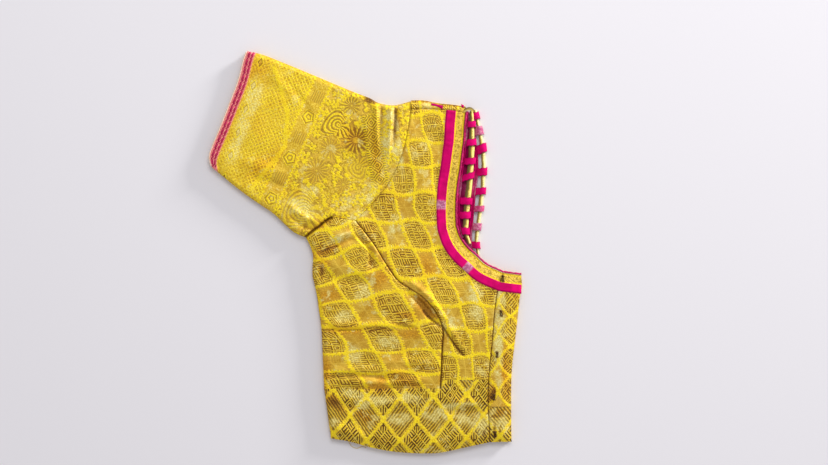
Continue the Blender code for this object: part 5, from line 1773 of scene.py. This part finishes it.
Level = namedtuple("Level", "piping_z piping_radius cloth_z cloth_edge_z cord_z cord_half_height")
UPPER_LEVEL = Level(4.0, 1.0, 4.6, 4.5, 5.9, 2.0)
LOWER_LEVEL = Level(2.1, 1.0, 3.1, 2.6, 2.6, 2.2)
FACING_WALL = 0.9
FACING_COLUMNS = 9
TAB_WALL = 0.8
TAB_CLEAR = 0.75
TAB_STEPS = 22
TAB_COLUMNS = 8
TAB_ROOT_STEPS = 3
TAB_ROOT_RISE = 0.3
TAB_SWELL = 0.05
TAB_PUCKER = 0.35
TAB_RIM = 0.8
TAB_RIM_SHADE = 0.7
TAB_FROM = math.radians(150)
TAB_TO = math.radians(-18)
NECK_TUCK = 3.5
CLOTH_WAVE = 0.2
CORD_SIDES = 16
CORD_WAVE = 0.06
PIPING_EDGE = 0.3
LOOP_PATH = [(106.4, 151.8), (108.0, 153.9), (112.0, 155.2), (115.6, 154.0), (116.8, 151.4)]
LOOP_HEIGHT = 6.2
LOOP_ARCH = 1.1
LOOP_HALF_WIDTH = 1.7
LOOP_HALF_HEIGHT = 1.3
LOOP_SIDES = 12


def cord_finish():
    """A rolled cord of brocade with painted light: painted shade on one side, a painted highlight as a light
    stripe, and flecks of the weave.
    """
    tree, given, put = group(
        "cord finish", ("Place", "Across", "Left", "Middle", "Right"), ("Color", "Roughness", "Height")
    )
    fleck = noise(given["Place"], 0.5, 2.0, 0.6)
    across = given["Across"] + (noise(given["Place"], 0.16, 1.0) - 0.5) * 1.1
    colour = coloured(tree, across.ramp(-0.3, 0.0), given["Left"], given["Middle"])
    colour = coloured(tree, across.ramp(0.12, 0.34), colour, given["Right"])
    put("Color", coloured(tree, fleck.ramp(0.56, 0.66) * 0.6, colour, dye(124, 96, 30)))
    put("Roughness", 0.42 + fleck * 0.1)
    put("Height", fleck)
    return tree


cord_look = cord_finish()
# Left is each cord's painted shade and Right its painted highlight.
upper_cord = trim_material(
    "upper_cord", cord_look, "Across",
    Left=dye(112, 92, 34), Middle=dye(206, 176, 60), Right=dye(250, 232, 130),
)
lower_cord = trim_material(
    "lower_cord", cord_look, "Across",
    Left=dye(150, 128, 60), Middle=dye(232, 214, 110), Right=dye(244, 232, 160),
)


def nearest_on(line, points):
    """The place on a line that is nearest to each point."""
    fine = resample(line, 600)
    return fine[np.linalg.norm(points[:, None] - fine[None], axis=2).argmin(1)]


def at_height(line, y):
    """x of a line that runs down, at each y."""
    return np.interp(y, line[::-1, 1], line[::-1, 0])


def tab_strips(name, tabs, edge, cord, half_width, level):
    """Every tab of one half, as one mesh: from the piping's outer side up over the cord and down again."""
    points, fade, rim = [], [], []
    size = TAB_STEPS, TAB_COLUMNS
    share = np.linspace(-0.5, 0.5, TAB_COLUMNS)
    angle = np.linspace(TAB_FROM, TAB_TO, TAB_STEPS - TAB_ROOT_STEPS)
    for tab in tabs:
        ys = tab.y + share * tab.width
        start_x = at_height(edge, ys) + level.piping_radius * 0.7
        middle_x = at_height(cord, ys)
        reach = np.interp(ys, cord[::-1, 1], half_width[::-1]) + TAB_CLEAR + TAB_WALL / 2
        rise = level.cord_half_height + TAB_CLEAR + TAB_WALL / 2
        x = middle_x[None] + reach[None] * np.cos(angle)[:, None]
        z = level.cord_z + rise * np.sin(angle)[:, None] + np.zeros_like(x)
        root = np.linspace(0, 1, TAB_ROOT_STEPS + 1)[:-1, None]
        root_x = start_x[None] * (1 - root) + x[0][None] * root
        root_z = (level.piping_z + TAB_ROOT_RISE) * (1 - root) + z[0][None] * root
        x, z = np.vstack([root_x, x]), np.vstack([root_z, z])
        swell = 1 + TAB_SWELL * np.cos(share * math.tau * 1.5)
        z = level.cord_z + (z - level.cord_z) * swell
        away = (x - start_x[None]) * tab.lean
        y = ys[None] + away + TAB_PUCKER * np.sin(x * 1.3)
        points.append(np.stack([x, y, z], axis=-1).reshape(-1, 3))
        fade.append(np.full(size, tab.fade))
        rim.append(np.broadcast_to(np.abs(share) * 2 > TAB_RIM, size) * TAB_RIM_SHADE)
    points = np.vstack(points)
    faces = copies(grid_faces(*size), TAB_STEPS * TAB_COLUMNS, len(tabs))
    piece = mesh_piece(name, points, faces, points[:, :2])
    give(piece, fade=np.concatenate(fade), edge=np.concatenate(rim))
    bpy.ops.object.select_all(action="DESELECT")
    thicken(piece, TAB_WALL)
    outwards(piece)
    piece.data.materials.append(pink_satin)
    return piece


neck_tucked = neck_edge + sideways(neck_edge) * NECK_TUCK
for half, ladder, tabs, level, cord_material in (
    ("upper_back", UPPER_LADDER, UPPER_TABS, UPPER_LEVEL, upper_cord),
    ("lower_back", LOWER_LADDER, LOWER_TABS, LOWER_LEVEL, lower_cord),
):
    edge = smooth_line(column(ladder, "edge_x", "edge_y"))
    cord_line = smooth_line(column(ladder, "cord_x", "cord_y"))
    half_width = smooth_line([(row.cord_half_width, 0) for row in ladder])[:, 0]
    away = sideways(edge)
    away *= np.sign(away[:, :1])

    cloth_side = edge - away * level.piping_radius * 0.6
    share = np.linspace(0, 1, FACING_COLUMNS)
    neck_side = nearest_on(neck_tucked, cloth_side)
    strip = neck_side[:, None] * (1 - share[:, None]) + cloth_side[:, None] * share[:, None]
    rise = level.cloth_z + (level.cloth_edge_z - level.cloth_z) * share[None]
    rise = rise + CLOTH_WAVE * np.sin(strip[..., 1] / 6.5) * np.sin(share * math.pi)
    # Painted highlight: shine is a grey-pink sheen painted near the facing's piping.
    shine = np.clip(np.sin(strip[..., 1] / 11.0 + 1.2) * 1.6 - 0.5, 0, 1)
    shine = shine * np.exp(-(((share - 0.75) / 0.16) ** 2))
    points = np.dstack([strip, rise]).reshape(-1, 3)
    facing = mesh_piece(half + "_facing", points, grid_faces(*strip.shape[:2]), points[:, :2])
    # The facing's edge share is painted shade, darkest across the middle of the strip.
    give(facing, fade=shine * 0.7, edge=np.broadcast_to(0.35 + 0.5 * np.sin(share * math.pi), shine.shape))
    if facing.data.polygons[0].normal.z < 0:
        facing.data.flip_normals()
    thicken(facing, FACING_WALL)
    facing.data.materials.append(pink_satin)
    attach(facing, "root")
    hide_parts(half)

    station = np.arange(len(cord_line))
    bend = 0.35 * np.sin(station * 0.16) + 0.2 * np.sin(station * 0.43 + 1)
    centres = np.column_stack([cord_line[:, 0] + bend * 0.5, cord_line[:, 1], level.cord_z + bend * 0.3])
    # The painted shade and highlight are turned to the same side of the view on every cord.
    rail_side = np.sign(sideways(centres[:, :2])[:, :1])
    rail = tube(
        half + "_cord_roll", centres, half_width * (0.94 + CORD_WAVE * np.sin(station * 0.29)),
        level.cord_half_height * 0.97, CORD_SIDES, cord_material,
        across=np.cos(around(CORD_SIDES))[None] * rail_side,
    )
    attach(rail, "root")
    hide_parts(half + "_cord")

    edge_centres = np.column_stack([edge, np.full(len(edge), level.piping_z)])
    # Painted highlight: grey-pink sheen painted in bands along the piping.
    painted_piping_sheen = np.clip(np.sin(edge[:, 1:] / 9.0) * 0.8, 0, 0.7)
    piping = tube(
        half + "_piping", edge_centres, level.piping_radius, level.piping_radius, PIPING_SIDES,
        pink_satin, fade=painted_piping_sheen, edge=PIPING_EDGE,
    )
    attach(piping, "root")
    strips = tab_strips(half + "_tab_strips", tabs, edge, cord_line, half_width, level)
    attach(strips, "root")
    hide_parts(half + "_tabs")

loop_path = smooth_line(LOOP_PATH, 6)
loop_rise = LOOP_HEIGHT + LOOP_ARCH * np.sin(np.linspace(0, math.pi, len(loop_path)))
loop = tube(
    "cord_loop", np.column_stack([loop_path, loop_rise]), LOOP_HALF_WIDTH, LOOP_HALF_HEIGHT, LOOP_SIDES,
    upper_cord, across=np.cos(around(LOOP_SIDES))[None],
)
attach(loop, "root")

# ---------------------------------------------------------------------------------------------------------
# Hook eyes. Ovals bent from bronze wire lie along the placket, and a hook on the other front slides under
# each of them. Brown thread over both ends sews each eye down.

Eye = namedtuple("Eye", "name x y turn")
EYES = [
    Eye("hook_eye_1", 148.5, -28.5, 4), Eye("hook_eye_2", 146.5, -66, 12), Eye("hook_eye_3", 142, -110.5, 0),
    Eye("hook_eye_4", 138.8, -156.5, -6), Eye("hook_eye_5", 140, -196.5, 2),
]
EYE_LENGTH = 7.5
EYE_WIDTH = 2.8
EYE_WIRE = 0.55
EYE_STATIONS = 36
WIRE_SIDES = 10
TIE_PLACES = (-0.40, -0.28, 0.30, 0.42)
TIE_REACH = 2.0
TIE_SLANT = 0.2
TIE_RADIUS = 0.22
TIE_ARCH = 2 * EYE_WIRE + 0.3


def plain_finish(name, colour, roughness, metallic=0.0):
    """Material with one colour all over."""
    made = bpy.data.materials.new(name)
    made.use_nodes = True
    shader = made.node_tree.nodes["Principled BSDF"]
    shader.inputs["Base Color"].default_value = colour
    shader.inputs["Roughness"].default_value = roughness
    shader.inputs["Metallic"].default_value = metallic
    return made


bronze_wire = plain_finish("bronze_wire", dye(74, 44, 24), 0.4, 0.8)
brown_thread = yarn("brown_thread", dye(82, 50, 18), dye(140, 98, 40), 1.5)

for eye in EYES:
    turn = around(EYE_STATIONS)
    c, s = math.cos(math.radians(eye.turn)), math.sin(math.radians(eye.turn))
    p, q = (EYE_WIDTH / 2 - EYE_WIRE) * np.cos(turn), (EYE_LENGTH / 2 - EYE_WIRE) * np.sin(turn)
    place = np.column_stack([eye.x + p * c - q * s, eye.y + p * s + q * c])
    level = cloth_top(place)[0].max() + EYE_WIRE + 0.1
    along = np.roll(place, -1, axis=0) - np.roll(place, 1, axis=0)
    side = unit(np.column_stack([along[:, 1], -along[:, 0]]))
    centres = np.column_stack([place, np.full(EYE_STATIONS, level)])
    points = oval_rings(centres, side, EYE_WIRE, EYE_WIRE, WIRE_SIDES).reshape(-1, 3)
    faces = grid_faces(EYE_STATIONS, WIRE_SIDES, closed=True)
    last = (EYE_STATIONS - 1) * WIRE_SIDES
    for k in range(WIRE_SIDES):
        n = (k + 1) % WIRE_SIDES
        faces.append([last + k, last + n, n, k])
    wire = mesh_piece(eye.name + "_wire", points, faces, points[:, :2])
    outwards(wire)
    wire.data.materials.append(bronze_wire)
    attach(wire, "root")
    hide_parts(eye.name)

STITCH_STEPS = 7
STITCH_SIDES = 6


def stitches(name, ends, radius, finish, arch):
    """Short raised stitches, one mesh: each from one plan place to another, arched over the cloth."""
    tubes = []
    t = np.linspace(0, 1, STITCH_STEPS)[:, None]
    for start, end in ends:
        place = np.array(start) * (1 - t) + np.array(end) * t
        level = cloth_top(place)[0] + radius * 0.2 + arch * np.sin(t[:, 0] * math.pi)
        centres = np.column_stack([place, level])
        tubes.append(oval_rings(centres, sideways(place), radius, radius, STITCH_SIDES))
    bundle(name, tubes, finish)


ties = []
for eye in EYES:
    for place in TIE_PLACES:
        y = eye.y + place * EYE_LENGTH
        ties.append(((eye.x - TIE_REACH, y + TIE_SLANT), (eye.x + TIE_REACH, y - TIE_SLANT)))
stitches("hook_eye_ties", ties, TIE_RADIUS, brown_thread, TIE_ARCH)

# ---------------------------------------------------------------------------------------------------------
# Stitching and loose yarn. Running stitches of brown thread close the joint of the placket's two pieces at
# the waist. Two ends of gold yarn have worked loose and hang from the hem.

DASH_LENGTH = 1.5
DASH_PITCH = 2.6
DASH_RADIUS = 0.24
DASH_ARCH = 0.2
YARN_RADIUS = 0.26
YARN_SIDES = 8
YARN_LEVEL = 0.4
joint_y = placket_across[0, 1]
dash_starts = np.arange(placket_across[0, 0] + 1.5, placket_across[-1, 0] - 2.5, DASH_PITCH)
dashes = [((x, joint_y - 0.2), (x + DASH_LENGTH, joint_y - 0.1)) for x in dash_starts]
stitches("placket_stitches", dashes, DASH_RADIUS, brown_thread, DASH_ARCH)
gold_thread = yarn("gold_thread", dye(190, 160, 70), dye(230, 206, 120), 1.5)
for name, path in (
    ("hem_yarn_long", ((-18.5, -205.5), (-15.5, -210.6), (-9.5, -213.0), (-4.0, -211.0), (0.5, -212.6))),
    ("hem_yarn_short", ((4.0, -208.0), (6.4, -211.2), (10.6, -212.0))),
):
    bends = smooth_line(path, 6)
    centres = np.column_stack([bends, np.full(len(bends), YARN_LEVEL)])
    loose_end = tube(name, centres, YARN_RADIUS, YARN_RADIUS, YARN_SIDES, gold_thread)
    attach(loose_end, "root")

# ---------------------------------------------------------------------------------------------------------
# Surface, light and camera. The blouse lies on plain matte cloth of a cool white. A soft light hangs over
# it, a low window beyond its shoulder gives the creases their shade, and the camera looks straight down.

FLOOR_SIZE = 6.0
FLOOR_LEVEL = -0.0002
bpy.ops.mesh.primitive_plane_add(size=FLOOR_SIZE, location=(0.0, 0.0, FLOOR_LEVEL))
floor = bpy.context.object
floor.name = "white_cloth_floor"
floor.data.materials.append(plain_finish("floor_white", dye(233, 230, 234), 0.9))

SKY_COLOUR = (0.965, 0.96, 0.985, 1.0)
SKY_STRENGTH = 0.555
world = bpy.data.worlds.new("studio")
bpy.context.scene.world = world
world.use_nodes = True
sky = world.node_tree.nodes["Background"].inputs
sky["Color"].default_value = SKY_COLOUR
sky["Strength"].default_value = SKY_STRENGTH


def soft_light(name, place, power, size):
    """Square light, turned to the blouse."""
    bpy.ops.object.light_add(type="AREA", location=place)
    light = bpy.context.object
    light.name = name
    light.data.energy = power
    light.data.size = size
    back = np.array(place) / np.linalg.norm(place)
    light.rotation_euler = (math.acos(back[2]), 0.0, math.atan2(back[1], back[0]) + math.pi / 2)


soft_light("overhead", (0.2, 1.1, 1.6), 12.0, 0.9)
soft_light("window", (2.6, 2.0, 0.62), 118.0, 0.6)

VIEW_CENTRE = (0.0524, 0.0213)
VIEW_WIDTH = 0.894
CAMERA_HEIGHT = 1.6
PILE_LEVEL = 0.009
bpy.ops.object.camera_add(location=(*VIEW_CENTRE, PILE_LEVEL + CAMERA_HEIGHT), rotation=(0.0, 0.0, 0.0))
camera = bpy.context.object
camera.data.lens = camera.data.sensor_width * CAMERA_HEIGHT / VIEW_WIDTH
bpy.context.scene.camera = camera
bpy.context.scene.view_settings.view_transform = "Standard"
